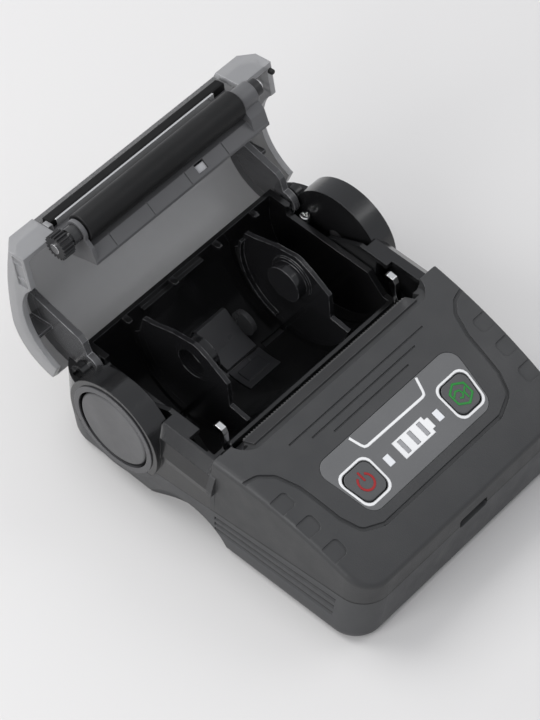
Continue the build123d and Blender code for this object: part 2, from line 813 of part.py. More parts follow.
# Roll bin: glossy trough with side walls and a raised back
def roll_bin():
    outer = rod_x(-bin_half_width - bin_side_wall, bin_half_width + bin_side_wall, bin_axis_y,
                  bin_axis_height, bin_radius + bin_wall)
    cut_front = bin_axis_y - bin_radius
    keep = side_polygon([(cut_front - 6, 0), (body_rear - 1, 0), (body_rear - 1, bin_back_top),
                         (bin_axis_y + bin_radius - 4.5, bin_back_top),
                         (bin_axis_y + 20.0, bin_side_top), (17.0, bin_side_top), (9.5,
                                 27.6), (cut_front - 6, 27.6)], -60, 60)
    back = block(-bin_half_width - bin_side_wall, bin_half_width + bin_side_wall,
                 bin_axis_y + bin_radius - 8,
                 bin_axis_y + bin_radius + bin_wall + 0.4, bin_axis_height, bin_back_top)
    solid = (outer & keep) + back
    solid -= rod_x(-bin_half_width, bin_half_width, bin_axis_y, bin_axis_height, bin_radius)
    solid -= block(-bin_half_width, bin_half_width, bin_axis_y, bin_axis_y + bin_radius,
                   bin_axis_height, 70)
    step = rod_x(-bin_half_width, -bin_half_width + 4.5, bin_axis_y, bin_axis_height, bin_radius + 0.1)
    step -= rod_x(-bin_half_width - 1, bin_half_width + 1, bin_axis_y, bin_axis_height, bin_radius - 0.9)
    step &= block(-60, 60, 9.0, 58, 0, 27.0)
    solid += both_sides(step)
    solid -= guide_slots()
    solid -= block(-rack_reach, rack_reach, slot_y - rack_bay, slot_y + rack_bay, 0,
                   rack_low + rack_thickness + 0.2)
    for side in (-1, 1):
        inner, outer = side * (bin_half_width + 0.8), side * (bin_half_width + 5.5)
        solid -= rod_x(inner, outer, hinge_y, hinge_height, hinge_pin_radius)
    rib = block(-21, 9, bin_axis_y + bin_radius - 1.6, bin_axis_y + bin_radius + 0.4, 35.4, 36.6)
    return solid + rib


slot_y = 38.4
slot_width = 2.4


def guide_slots():
    # The feet of the two guides slide in these slots through the bin's bottom.
    x_in = guide_x - guide_inward - 1.8
    x_out = bin_half_width - 1.2
    left = block(-x_out, -x_in, slot_y - slot_width / 2, slot_y + slot_width / 2, 0, 9)
    return both_sides(left)


# Paper guide: a D-shaped plate with a round hub, a rear rib and a foot
def paper_guide(side):
    inner_x = side * guide_x
    outer_x = side * (guide_x + guide_thickness)
    radius = bin_radius - 0.9 - guide_clearance
    disc = rod_x(min(inner_x, outer_x), max(inner_x, outer_x), bin_axis_y, bin_axis_height, radius)
    keep = side_polygon([(52.6, 42.2), (43.2, 45.9), (33.4, 47.9), (31.0, 47.4), (26.6, 45.3),
                         (17.6, 39.6), (16.6, 28.2), (4.0, 27.0),
                         (4.0, 0.0), (66.0, 0.0), (66.0, 26.0), (58.5, 33.5), (57.0, 41.0)], -60, 60)
    hood = side_polygon([(60, 30), (57.4, 41.0), (52.6, 42.2), (43.2, 45.9), (33.4, 47.9), (31.0, 47.4),
                         (26.6, 45.3), (17.6, 39.6),
                         (17.6, 30)], min(inner_x, outer_x), max(inner_x, outer_x))
    plate = (disc & keep) + (hood & rod_x(-70, 70, bin_axis_y, bin_axis_height, radius + 4))
    plate &= side_polygon([(7.2, 27.0), (16.4, 28.2), (17.6, 39.6), (20, 60), (61.6, 60), (62.6, 30),
                           (60, 0), (7, 0)], -60, 60)
    hub_in = side * (guide_x - hub_length)
    hub = rod_x(min(hub_in, outer_x), max(hub_in, outer_x), hub_y, hub_height, hub_radius)
    rim_x = side * (guide_x - 0.9)
    rim = rod_x(min(rim_x, inner_x), max(rim_x, inner_x), hub_y, hub_height, hub_radius + 1.5)
    body = plate + hub + rim
    cup = side * (guide_x - hub_length + 1.4)
    far = side * (guide_x + guide_thickness + 1)
    body -= rod_x(min(cup, far), max(cup, far), hub_y, hub_height, hub_radius - 1.4)
    rib_outer = rod_x(-1, 1, bin_axis_y, bin_axis_height, radius - 3.4)
    rib_inner = rod_x(-2, 2, bin_axis_y, bin_axis_height, radius - 4.6)
    sector = side_polygon([(bin_axis_y + 3, 34), (66, 48), (66, 8), (bin_axis_y + 6, 8)], -2, 2)
    rib = Pos(side * (guide_x - 0.9), 0, 0) * ((rib_outer - rib_inner) & sector)
    rib &= side_polygon([(30, 0), (66, 0), (66, 38), (30, 38)], -60, 60)
    body += rib
    foot = block(inner_x, outer_x, slot_y - slot_width / 2 + 0.25, slot_y + slot_width / 2 - 0.25,
                 rack_low, 6.5)
    return body + foot + guide_rack(side)


def guide_rack(side):
    # Toothed bar under the bin: the left guide's runs in front of the pinion, the right guide's behind it.
    pitch = pi * rack_module
    pitch_line = rack_module * rack_pinion_teeth / 2
    span = guide_x + guide_thickness
    count = int((span + guide_outward + 3) / pitch)
    first = -int(guide_inward / pitch) - 2
    tip = pitch_line - rack_module * 0.55
    root = pitch_line + rack_module * 1.1
    tip_half = pitch * 0.25 - (pitch_line - tip) * tan(radians(pressure_angle)) - rack_slack
    root_half = pitch * 0.25 + (root - pitch_line) * tan(radians(pressure_angle)) - rack_slack
    points = [(-span, root + rack_width), (-span, root)]
    last = int((guide_outward + 3.5) / pitch)
    for i in range(first, last + 1):
        x = i * pitch
        points += [(x - root_half, root), (x - tip_half, tip), (x + tip_half, tip), (x + root_half, root)]
    end = last * pitch + pitch * 0.5
    points += [(end, root), (end, root + rack_width)]
    face = make_face(Polyline(*points, close=True))
    toothed = mirror(extrude(face, amount=rack_thickness), about=Plane.YZ)
    bar = Pos(0, slot_y, rack_low) * Rot(0, 0, 180) * toothed
    link = block(-span, -guide_x, slot_y - root - 0.5, slot_y, rack_low, rack_low + rack_thickness)
    bar = bar + link
    if side > 0:
        bar = Pos(0, slot_y, 0) * Rot(0, 0, 180) * (Pos(0, -slot_y, 0) * bar)
    return bar


def guide_pinion():
    body = gear(rack_pinion_teeth, rack_thickness, 180 / rack_pinion_teeth, module=rack_module,
                bore=guide_stud_radius + running_clearance)
    return Pos(0, slot_y, rack_low) * body


def sensor_plate():
    # Thin curved plate on the bin's bottom with a raised window.
    plate = rod_x(-4.0, 11.8, bin_axis_y, bin_axis_height, bin_radius)
    plate -= rod_x(-5, 13, bin_axis_y, bin_axis_height, bin_radius - 0.5)
    plate &= block(-5, 13, 28.0, 38.6, 0, 10)
    window = rod_x(-1.6, 8.8, bin_axis_y, bin_axis_height, bin_radius)
    window -= rod_x(-3, 10, bin_axis_y, bin_axis_height, bin_radius - 0.9)
    window &= block(-5, 13, 30.6, 36.4, 0, 10)
    return plate + window


# Label sensor: grey cover on the bin's lower back and its window plate in the bottom
def label_sensor():
    face = side_polygon([(39.4, 1.0), (60.0, 6.0), (56.4, 12.4), (54.4, 13.6), (46.2, 7.4),
                         (39.4, 5.2)], -3.8, 11.2)
    return face & rod_x(-4, 12, bin_axis_y, bin_axis_height, bin_radius)


# Small round stop knob by the cover of the sensor
def stop_knob():
    return rod_x(11.2, 13.2, 46.0, 11.9, 5.2) - rod_x(12.4, 14, 46.0, 11.9, 4.1)


def main_board():
    board = block(-40, 40, -62, -16, 15.6, 17.0)
    board += block(20, 32, -50, -38, 17.0, 19.0)
    board += both_sides(block(36, 38, -58, -54, base_floor, 15.6))
    return board


def usb_port():
    shell = block(usb_x - 4.6, usb_x + 4.6, body_front + 2.6, body_front + 10, 17.0, 20.3)
    shell = round_edges(shell, shell.edges().filter_by(Axis.Y), 1.2)
    mouth = block(usb_x - 3.9, usb_x + 3.9, body_front + 2, body_front + 8, 17.6, 19.7)
    tongue = block(usb_x - 3.2, usb_x + 3.2, body_front + 3.2, body_front + 9, 18.4, 18.9)
    return (shell - mouth) + tongue


# Bright ring, pressing disc and screw on each side
stem_radius = 3.6


def drum_ring(side):
    x0 = side * drum_outer_x
    x1 = side * (drum_outer_x + 0.5)
    lo, hi = min(x0, x1), max(x0, x1)
    inner_radius = disc_radius + disc_gap
    return drum(inner_radius + ring_width, lo, hi) - drum(inner_radius, lo - 1, hi + 1)


def side_disc(side):
    face_x = side * (drum_outer_x + 0.3)
    back_x = side * (drum_outer_x + 0.3 - disc_thickness)
    lo, hi = min(face_x, back_x), max(face_x, back_x)
    disc = drum(disc_radius, lo, hi)
    rounds = disc.edges().filter_by(GeomType.CIRCLE)
    rim = rounds.filter_by(lambda e: abs(abs(e.center().X) - abs(face_x)) < 0.01)
    disc = fillet(rim, 1.0)
    stem_end = side * (drum_inner_x + 0.4)
    return disc + rod_x(min(stem_end, back_x), max(stem_end, back_x), drum_y, drum_height, stem_radius)


def case_screw(side):
    x = side * case_screw_x
    z = case_screw_height
    head = Pos(x, case_screw_y, z) * Cylinder(screw_head_radius, 1.6)
    head = fillet(head.edges().filter_by(GeomType.CIRCLE).sort_by(Axis.Z)[-1:], 0.7)
    head -= Pos(x, case_screw_y, z + 0.6) * Box(2.6, 0.6, 0.8)
    head -= Pos(x, case_screw_y, z + 0.6) * Box(0.6, 2.6, 0.8)
    low = seam_height - 4
    return head + Pos(x, case_screw_y, (z + low) / 2) * Cylinder(screw_shank_radius, z - low)


def screw_column():
    # Post of the upper case that the rear screw passes through.
    post = Pos(case_screw_x, case_screw_y, (seam_height + case_screw_height - 0.8) / 2)
    post *= Cylinder(2.3, case_screw_height - 0.8 - seam_height)
    web = block(case_screw_x, drum_inner_x + 0.6, case_screw_y - 1.2, case_screw_y + 1.2, seam_height, 30)
    return both_sides((post + web) - Pos(case_screw_x, case_screw_y,
                                         26) * Cylinder(screw_shank_radius + screw_clearance, 30))


def hinge_pin(side):
    x0 = side * (bin_half_width + 0.8)
    x1 = side * (drum_inner_x + 3.2)
    return rod_x(min(x0, x1), max(x0, x1), hinge_y, hinge_height, hinge_pin_radius)


# Cover, drawn closed and then swung open
cover_rear_outer = 13.2
cover_end_angle = 61.0
tail_foot = 3.2
ear_reach = 1.5


def cover_profile(inset, drop=0.0):
    # The closed cover in side view: the top rises from the front edge to a crest and ends above the hinge.
    tail = cover_rear_outer - inset - drop
    turn = radians(cover_end_angle)
    front = (cover_front_y + inset, cover_front_height - inset - drop)
    crest = (cover_crest_y, cover_top_height - inset - drop)
    rise = ((front[0] + crest[0]) / 2, (front[1] + crest[1]) / 2 + cover_bulge)
    end = (hinge_y + tail * cos(turn), hinge_height + tail * sin(turn))
    return front, rise, crest, end


def back_middle(front, rise, crest, end):
    # Halfway point of the round back, an arc that leaves the crest smoothly and reaches the end.
    cy, cz, r = arc_centre(front, rise, crest)
    uy, uz = (cy - crest[0]) / r, (cz - crest[1]) / r
    dy, dz = end[0] - crest[0], end[1] - crest[1]
    radius = (dy * dy + dz * dz) / (2 * (dy * uy + dz * uz))
    oy, oz = crest[0] + radius * uy, crest[1] + radius * uz
    my, mz = (crest[0] + end[0]) / 2 - oy, (crest[1] + end[1]) / 2 - oz
    share = radius / hypot(my, mz)
    return oy + my * share, oz + mz * share


def cover_edges(inset, low, drop=0.0):
    front, rise, crest, end = cover_profile(inset, drop)
    top = side_arc(front, rise, crest)
    back = side_arc(crest, back_middle(front, rise, crest, end), end)
    rest = side_line(end, (hinge_y, hinge_height + tail_foot), (hinge_y - 7, low), (front[0], low), front)
    return top + back + rest


def cover_solid(inset, low):
    # The flat middle and, on each side, a sloping shoulder down to the upright cheek.
    flat = cover_half_width - cover_shoulder - 0.414 * inset
    edge = cover_half_width - inset
    solid = side_prism(cover_edges(inset, low), -flat, flat)
    inner_face = Pos(flat, 0, 0) * make_face(cover_edges(inset, low))
    outer_face = Pos(edge, 0, 0) * make_face(cover_edges(inset, low, edge - flat))
    return solid + both_sides(loft([inner_face, outer_face], ruled=True))


# Cover shell: smoky skin with upright cheeks that arch over the drums
def cover_shell():
    shell = cover_solid(0.0, cover_low) - cover_solid(cover_wall, cover_low - 5)
    lip = Polyline((-cover_notch_x - 2.8, 0), (-cover_notch_x + 0.4, cover_front_y + ear_reach),
                   (cover_notch_x - 0.4, cover_front_y + ear_reach), (cover_notch_x + 2.8, 0), close=True)
    shell -= extrude(Pos(0, 0, 30) * make_face(lip), amount=50)
    low_tail = [(50, 20), (50, 41.4), (hinge_y - 2.7, 41.4), (hinge_y + 8.1, 47.4), (80, 47.4), (80, 20)]
    for side in (-1, 1):
        inner, outer = side * (drum_inner_x - 0.6), side * (drum_past_x + 6.0)
        shell -= drum(drum_radius + cheek_clearance, inner, outer)
        shell -= side_polygon(low_tail, min(inner, outer), max(inner, outer))
        shell -= grip_recess(side)
    shell -= block(-cover_notch_x, cover_notch_x, cover_front_y - 3, cover_front_y + 5, 20,
                   cover_front_height - cover_wall)
    return shell


def grip_recess(side):
    # Shallow finger grip on the cheek's outer face, with two upright ridges left standing.
    face_x = side * cover_half_width
    pad = block(face_x - side * 0.8, face_x + side, cover_front_y + 1.4, cover_front_y + 15.0,
                cover_low + 1.6, cover_low + 6.2)
    for y in (cover_front_y + 4.2, cover_front_y + 11.4):
        pad -= block(face_x - side, face_x - side * 0.3, y, y + 0.9, cover_low, cover_low + 7)
    return pad


arm_inner_x = bin_half_width + 3.6
arm_outer_x = arm_inner_x + 2.6
knuckle_radius = 5.2


def cover_arms():
    # Broad plate on each side: its top lies against the inside of the shell.
    # Its foot is a knuckle on the hinge pin.
    x0, x1 = arm_inner_x, arm_outer_x
    inner = cover_solid(cover_wall + 0.05, 30)
    outline = [(cover_crest_y - 6.6, cover_top_height + 6), (cover_crest_y - 5.1, cover_top_height - 4),
               (hinge_y - 12.5, hinge_height + 2.2), (hinge_y - 10.6, hinge_height + 0.4),
               (hinge_y - knuckle_radius + 0.4, hinge_height - 0.6), (hinge_y, hinge_height - 2),
               (hinge_y + 4.0, hinge_height), (80, 46), (80, cover_top_height + 6)]
    band = side_polygon(outline, -x1, -x0)
    arm = (inner & band) + rod_x(-x1, -x0, hinge_y, hinge_height, knuckle_radius)
    web = block(-x1 - 6.3, -x1 + 0.1, cover_crest_y + 6.4, cover_crest_y + 8.0, cover_top_height - 13, 80)
    arm += inner & web
    arm -= rod_x(-x1 - 1, -x0 + 1, hinge_y, hinge_height, hinge_pin_radius + running_clearance)
    return both_sides(arm)


# Platen carrier: the opaque block behind the roller, in the closed pose
block_low_y = 14.4
block_low_z = 28.9
block_left_x = -(bin_half_width - 2.9)
block_right_x = bin_half_width - 2.6
block_rear_y = 20.5
roller_gap = 0.7


def platen_carrier():
    front, rise, crest, end = cover_profile(cover_wall + 0.05)
    cy, cz, r = arc_centre(front, rise, crest)

    def under(y):
        return cz + sqrt(r * r - (y - cy) ** 2)

    y0, y1 = cover_front_y + 2.8, block_rear_y
    profile = [(y0, under(y0)), (y0, 44.0), (platen_y + 5.9, 40.6), (platen_y + 6.4, 32.4),
               (block_low_y - 1.2, block_low_z), (block_low_y, block_low_z), (y1, under(y1))]
    carrier = side_polygon(profile, block_left_x, block_right_x)
    hollow = [(y0 + 2.0, under(y0 + 2.0) + 3), (y0 + 2.0, 44.4), (platen_y + 8.0, 38.0),
              (platen_y + 9.0, 34.4), (y1 - 3.2, under(y1 - 3.2) + 3)]
    carrier -= side_polygon(hollow, block_left_x + 1.6, block_right_x - 1.6)
    for x in range(-32, 40, 18):
        carrier -= Pos(x, block_low_y - 2.95, block_low_z + 1.75) * Rot(-45, 0, 0) * Box(0.4, 8, 0.6)
        carrier += side_polygon([(y0 + 1.8, 50), (platen_y + 8.0, 37.6), (platen_y + 9.0, 34.0),
                                 (17.0, 46), (14, 54)], x - 0.8, x + 0.8)
    window = Pos(10.6, 12.2, 32.4) * Rot(-40, 0, 0) * Box(4.4, 3.6, 7.0)
    carrier -= window
    cheek = [(platen_y - 2.6, 36.0), (platen_y - 2.6, 39.6), (cover_front_y + 1.2, 44.6), (y0, 48.4),
             (y0, 52.0), (block_low_y + 3.8, 50), (block_low_y, block_low_z), (platen_y + 4.6, 30.2)]
    for x0, x1 in ((block_left_x - 0.4, platen_left_x - 0.5), (platen_right_x + 0.5, block_right_x)):
        carrier += side_polygon(cheek, x0, x1) + rod_x(x0, x1, platen_y, platen_height, 4.4)
    carrier -= rod_x(platen_left_x - 0.5, platen_right_x + 0.5, platen_y, platen_height,
                     platen_radius + roller_gap)
    carrier -= rod_x(-60, 60, platen_y, platen_height, bushing_radius + 0.1)
    return carrier


# Dark bar under the cover's front edge and the bright strip under it
bar_half_width = bin_half_width - 2.5
bar_low_z = 49.4
strip_height = 0.8


def cover_bar():
    top = cover_front_height - cover_wall - 0.1
    rear = cover_front_y + 2.75
    profile = [(rear, top), (rear, bar_low_z), (cover_front_y - 0.1, bar_low_z),
               (cover_front_y - 0.3, bar_low_z + 0.8), (cover_front_y + 0.3, top)]
    return side_polygon(profile, -bar_half_width, bar_half_width)


def cover_strip():
    high = bar_low_z - 0.02
    profile = [(cover_front_y + 2.75, high), (cover_front_y + 2.75, high - strip_height),
               (cover_front_y - 0.2, high - strip_height), (cover_front_y - 0.2, high)]
    return side_polygon(profile, -bar_half_width + 2, bar_half_width - 6)


def cover_bumper():
    peg = Pos(cover_half_width - cover_wall / 2, cover_front_y + 3.4,
              cover_low - 1.0) * Cylinder(cover_wall / 2 - 0.05, 2.0)
    return fillet(peg.edges().filter_by(GeomType.CIRCLE).sort_by(Axis.Z)[:1], 0.7)


def platen_bushing(side):
    x0, x1 = side * (hook_x - 2.8), side * (hook_x + 2.2)
    ring = rod_x(min(x0, x1), max(x0, x1), platen_y, platen_height, bushing_radius)
    return ring - rod_x(-60, 60, platen_y, platen_height, shaft_radius + running_clearance)


def platen_rubber():
    roll = rod_x(platen_left_x, platen_right_x, platen_y, platen_height, platen_radius)
    roll = round_edges(roll, roll.edges().filter_by(GeomType.CIRCLE), 0.4)
    return roll - rod_x(-60, 60, platen_y, platen_height, shaft_radius)


def platen_shaft():
    return rod_x(gear_left_x - 0.5, hook_x + 3.4, platen_y, platen_height, shaft_radius)


def platen_gear():
    return gear_at(gear(platen_teeth, gear_width, platen_phase, bore=shaft_radius), gear_left_x,
                   platen_y, platen_height)


def swing_open(shape):
    to_hinge = Pos(0, -hinge_y, -hinge_height)
    back = Pos(0, hinge_y, hinge_height)
    return back * Rot(-cover_angle, 0, 0) * (to_hinge * shape)


def build_nodes():
    nodes = {
        "lower_case": lower_case(),
        "battery_door": battery_door(),
        "battery_pack": battery_pack(),
        "upper_case": upper_case() + screw_column(),
        "console_panel": console_panel(),
        "power_key": console_key(-1),
        "feed_key": console_key(1),
        "switch_board": switch_board(),
        "battery_light": battery_light(),
        "status_lights": status_lights(),
        "tear_blade": tear_blade(),
        "print_head": print_head(),
        "mechanism_frame": mechanism_frame(),
        "drive_motor": drive_motor(),
        "motor_pinion": motor_pinion(),
        "idler_gear": idler_gear(),
        "latch_shaft": latch_shaft(),
        "latch_hook_left": latch_hook(-1),
        "latch_hook_right": latch_hook(1),
        "latch_spring": latch_spring(),
        "roll_bin": roll_bin(),
        "guide_left": paper_guide(-1),
        "guide_right": paper_guide(1),
        "guide_pinion": guide_pinion(),
        "sensor_plate": sensor_plate(),
        "label_sensor": label_sensor(),
        "stop_knob": stop_knob(),
        "main_board": main_board(),
        "usb_port": usb_port(),
        "drum_ring_left": drum_ring(-1),
        "drum_ring_right": drum_ring(1),
        "side_disc_left": side_disc(-1),
        "side_disc_right": side_disc(1),
        "case_screw_left": case_screw(-1),
        "case_screw_right": case_screw(1),
        "hinge_pin_left": hinge_pin(-1),
        "hinge_pin_right": hinge_pin(1),
    }
    cover = {
        "cover_shell": cover_shell(),
        "cover_arms": cover_arms(),
        "platen_carrier": platen_carrier(),
        "cover_bar": cover_bar(),
        "cover_strip": cover_strip(),
        "cover_bumper": cover_bumper(),
        "platen_bushing_left": platen_bushing(-1),
        "platen_bushing_right": platen_bushing(1),
        "platen_rubber": platen_rubber(),
        "platen_shaft": platen_shaft(),
        "platen_gear": platen_gear(),
    }
    for name, shape in cover.items():
        nodes[name] = swing_open(shape)
    return nodes


os.makedirs("parts", exist_ok=True)
for name, shape in build_nodes().items():
    export_step(shape, f"parts/{name}.step")
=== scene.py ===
import math
import bpy
from mathutils import Matrix, Vector


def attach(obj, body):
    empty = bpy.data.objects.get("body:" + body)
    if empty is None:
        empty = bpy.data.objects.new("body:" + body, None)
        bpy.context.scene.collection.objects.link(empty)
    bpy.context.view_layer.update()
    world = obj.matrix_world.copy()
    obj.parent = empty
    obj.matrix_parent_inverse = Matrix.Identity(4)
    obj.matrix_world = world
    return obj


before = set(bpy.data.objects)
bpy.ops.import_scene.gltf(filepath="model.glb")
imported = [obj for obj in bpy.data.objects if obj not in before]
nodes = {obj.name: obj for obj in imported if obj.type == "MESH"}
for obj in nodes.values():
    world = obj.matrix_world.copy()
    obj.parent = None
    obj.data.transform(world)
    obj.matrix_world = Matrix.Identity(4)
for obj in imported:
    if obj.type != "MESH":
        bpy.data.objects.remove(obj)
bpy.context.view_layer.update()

# Camera, floor and soft light.
# The camera stands in front, left and above, as a hand-held picture of an open printer is taken.
# A large soft lamp behind and a weaker one at each side light it from above, over a pale floor.
camera_elevation = 53.458
camera_azimuth = -47.329
camera_data = bpy.data.cameras.new("camera")
camera_data.sensor_fit = "VERTICAL"
camera_data.sensor_height = 36.0
camera_data.lens = 142.903
camera_data.clip_end = 20.0
camera = bpy.data.objects.new("camera", camera_data)
camera.location = (-0.4349, -0.3785, 0.8211)
camera.rotation_euler = (math.radians(90 - camera_elevation), 0, math.radians(camera_azimuth))
bpy.context.scene.collection.objects.link(camera)
bpy.context.scene.camera = camera
bpy.context.scene.view_settings.view_transform = "Standard"


def start_paint(name):
    paint = bpy.data.materials.new(name)
    paint.use_nodes = True
    return paint, paint.node_tree.nodes["Principled BSDF"]


bpy.ops.object.select_all(action="DESELECT")
bpy.ops.mesh.primitive_plane_add(size=8.0, location=(0, 0, 0))
floor = bpy.context.object
floor.name = "studio_floor"
floor_paint, floor_shader = start_paint("studio_floor")
floor_shader.inputs["Base Color"].default_value = (0.66, 0.65, 0.64, 1)
floor_shader.inputs["Roughness"].default_value = 0.75
floor.data.materials.append(floor_paint)

world = bpy.data.worlds.new("studio")
bpy.context.scene.world = world
world.use_nodes = True
world.node_tree.nodes["Background"].inputs["Color"].default_value = (0.93, 0.95, 1.0, 1)
world.node_tree.nodes["Background"].inputs["Strength"].default_value = 0.62


def soft_lamp(name, place, width, energy):
    lamp = bpy.data.lights.new(name, "AREA")
    lamp.shape = "RECTANGLE"
    lamp.size = width
    lamp.size_y = width
    lamp.energy = energy
    stand = bpy.data.objects.new(name, lamp)
    stand.location = place
    stand.rotation_euler = Vector(place).to_track_quat("Z", "Y").to_euler()
    bpy.context.scene.collection.objects.link(stand)


soft_lamp("rear_lamp", (-0.15, 0.75, 0.95), width=0.7, energy=7.5)
soft_lamp("left_lamp", (-0.9, 0.05, 0.6), width=0.6, energy=5.0)
soft_lamp("right_lamp", (0.8, -0.3, 0.8), width=0.5, energy=1.6)

# Lower case with its battery door.
# A tray moulded in charcoal ABS with a fine matt spark texture and three grooves on each side.
# The two halves of the case meet at the seam; a narrow line of painted shade marks the gap there
# and runs along each groove.
seam_height = 0.0192
seam_half_width = 0.00022
groove_heights = (0.0156, 0.0125, 0.0094)
groove_half_width = 0.00055
groove_front, groove_rear = -0.057, -0.005
tray_grain = 2300.0
noise_low, noise_high = 0.3, 0.7
mix_first, mix_second, mix_result = 6, 7, 2


def new_group(name, inputs, outputs):
    group = bpy.data.node_groups.new(name, "ShaderNodeTree")
    for label, start in inputs:
        socket = group.interface.new_socket(name=label, in_out="INPUT",
                                            socket_type="NodeSocketFloat")
        socket.default_value = start
    for label, kind in outputs:
        group.interface.new_socket(name=label, in_out="OUTPUT", socket_type=kind)
    return group, group.nodes.new("NodeGroupInput"), group.nodes.new("NodeGroupOutput")


def feed(tree, socket, value):
    # A socket takes another node's output, a number, or a colour given as its three parts.
    if isinstance(value, bpy.types.NodeSocket):
        tree.links.new(value, socket)
    elif socket.type == "RGBA":
        socket.default_value = (*value, 1)
    else:
        socket.default_value = value


def add_noise(tree, scale, detail, stretch=None):
    noise = tree.nodes.new("ShaderNodeTexNoise")
    feed(tree, noise.inputs["Scale"], scale)
    noise.inputs["Detail"].default_value = detail
    place = tree.nodes.new("ShaderNodeTexCoord")
    if stretch is None:
        tree.links.new(place.outputs["Object"], noise.inputs["Vector"])
    else:
        mapping = tree.nodes.new("ShaderNodeMapping")
        mapping.inputs["Scale"].default_value = stretch
        tree.links.new(place.outputs["Object"], mapping.inputs["Vector"])
        tree.links.new(mapping.outputs["Vector"], noise.inputs["Vector"])
    return noise.outputs["Fac"]


def add_math(tree, operation, *values):
    node = tree.nodes.new("ShaderNodeMath")
    node.operation = operation
    for socket, value in zip(node.inputs, values):
        feed(tree, socket, value)
    return node.outputs[0]


def add_range(tree, value, low, high, to_low=0.0, to_high=1.0):
    node = tree.nodes.new("ShaderNodeMapRange")
    tree.links.new(value, node.inputs["Value"])
    limits = (("From Min", low), ("From Max", high), ("To Min", to_low), ("To Max", to_high))
    for label, number in limits:
        node.inputs[label].default_value = number
    return node.outputs["Result"]


def add_mix(tree, factor, first, second):
    node = tree.nodes.new("ShaderNodeMix")
    node.data_type = "RGBA"
    tree.links.new(factor, node.inputs["Factor"])
    feed(tree, node.inputs[mix_first], first)
    feed(tree, node.inputs[mix_second], second)
    return node.outputs[mix_result]


# Moulded grain: the sparked skin of a tool, with slow changes of tone where the melt cooled.
grain_group, grain_in, grain_out = new_group(
    "moulded_grain", [("Scale", 2600.0)],
    [("Tone", "NodeSocketFloat"), ("Gloss", "NodeSocketFloat"), ("Height", "NodeSocketFloat")])
cells = grain_group.nodes.new("ShaderNodeTexVoronoi")
cell_place = grain_group.nodes.new("ShaderNodeTexCoord")
grain_group.links.new(cell_place.outputs["Object"], cells.inputs["Vector"])
grain_group.links.new(grain_in.outputs["Scale"], cells.inputs["Scale"])
fine_noise = add_noise(grain_group, scale=900.0, detail=4.0)
height = add_math(grain_group, "ADD", cells.outputs["Distance"], fine_noise)
grain_group.links.new(height, grain_out.inputs["Height"])
for label, scale, detail in (("Tone", 38.0, 5.0), ("Gloss", 140.0, 3.0)):
    slow_noise = add_noise(grain_group, scale, detail)
    grain_group.links.new(add_range(grain_group, slow_noise, noise_low, noise_high),
                          grain_out.inputs[label])

# Edge wear and highlight: rounded edge normals and a broken mask where an edge has been rubbed.
# The smoky see-through resins use the same mask to paint a highlight along their edges.
wear_and_highlight_group, wear_in, wear_and_highlight_out = new_group(
    "edge_wear_and_highlight", [("Radius", 0.0004)],
    [("Wear and highlight", "NodeSocketFloat"), ("Normal", "NodeSocketVector")])
soft_edge = wear_and_highlight_group.nodes.new("ShaderNodeBevel")
soft_edge.samples = 6
wear_and_highlight_group.links.new(wear_in.outputs["Radius"], soft_edge.inputs["Radius"])
face = wear_and_highlight_group.nodes.new("ShaderNodeNewGeometry")
turn = wear_and_highlight_group.nodes.new("ShaderNodeVectorMath")
turn.operation = "DOT_PRODUCT"
wear_and_highlight_group.links.new(soft_edge.outputs["Normal"], turn.inputs[0])
wear_and_highlight_group.links.new(face.outputs["Normal"], turn.inputs[1])
edge_mask = add_range(wear_and_highlight_group, turn.outputs["Value"], low=0.985, high=0.8)
edge_breakup = add_noise(wear_and_highlight_group, scale=260.0, detail=5.0)
broken = add_range(wear_and_highlight_group, edge_breakup, low=0.42, high=0.62, to_low=0.25)
wear_and_highlight_group.links.new(add_math(wear_and_highlight_group, "MULTIPLY", edge_mask, broken), wear_and_highlight_out.inputs["Wear and highlight"])
wear_and_highlight_group.links.new(soft_edge.outputs["Normal"], wear_and_highlight_out.inputs["Normal"])

# Settled dust: a thin veil on faces that look up, gathered in patches.
dust_scale = 90.0
dust_color = (0.42, 0.4, 0.37)
dust_group, dust_in, dust_out = new_group(
    "settled_dust", [("Scale", dust_scale)], [("Dust", "NodeSocketFloat")])
dust_place = dust_group.nodes.new("ShaderNodeTexCoord")
dust_split = dust_group.nodes.new("ShaderNodeSeparateXYZ")
dust_group.links.new(dust_place.outputs["Normal"], dust_split.inputs["Vector"])
upward = add_range(dust_group, dust_split.outputs["Z"], low=0.35, high=0.95)
patches = add_noise(dust_group, dust_in.outputs["Scale"], detail=6.0)
veil = add_range(dust_group, patches, low=0.4, high=0.75)
dust_group.links.new(add_math(dust_group, "MULTIPLY", upward, veil), dust_out.inputs["Dust"])


def use_group(tree, group, **values):
    node = tree.nodes.new("ShaderNodeGroup")
    node.node_tree = group
    for label, value in values.items():
        node.inputs[label].default_value = value
    return node.outputs


def add_relief(tree, height, normal, strength, depth):
    relief = tree.nodes.new("ShaderNodeBump")
    relief.inputs["Strength"].default_value = strength
    relief.inputs["Distance"].default_value = depth
    tree.links.new(height, relief.inputs["Height"])
    tree.links.new(normal, relief.inputs["Normal"])
    tree.links.new(relief.outputs["Normal"], tree.nodes["Principled BSDF"].inputs["Normal"])


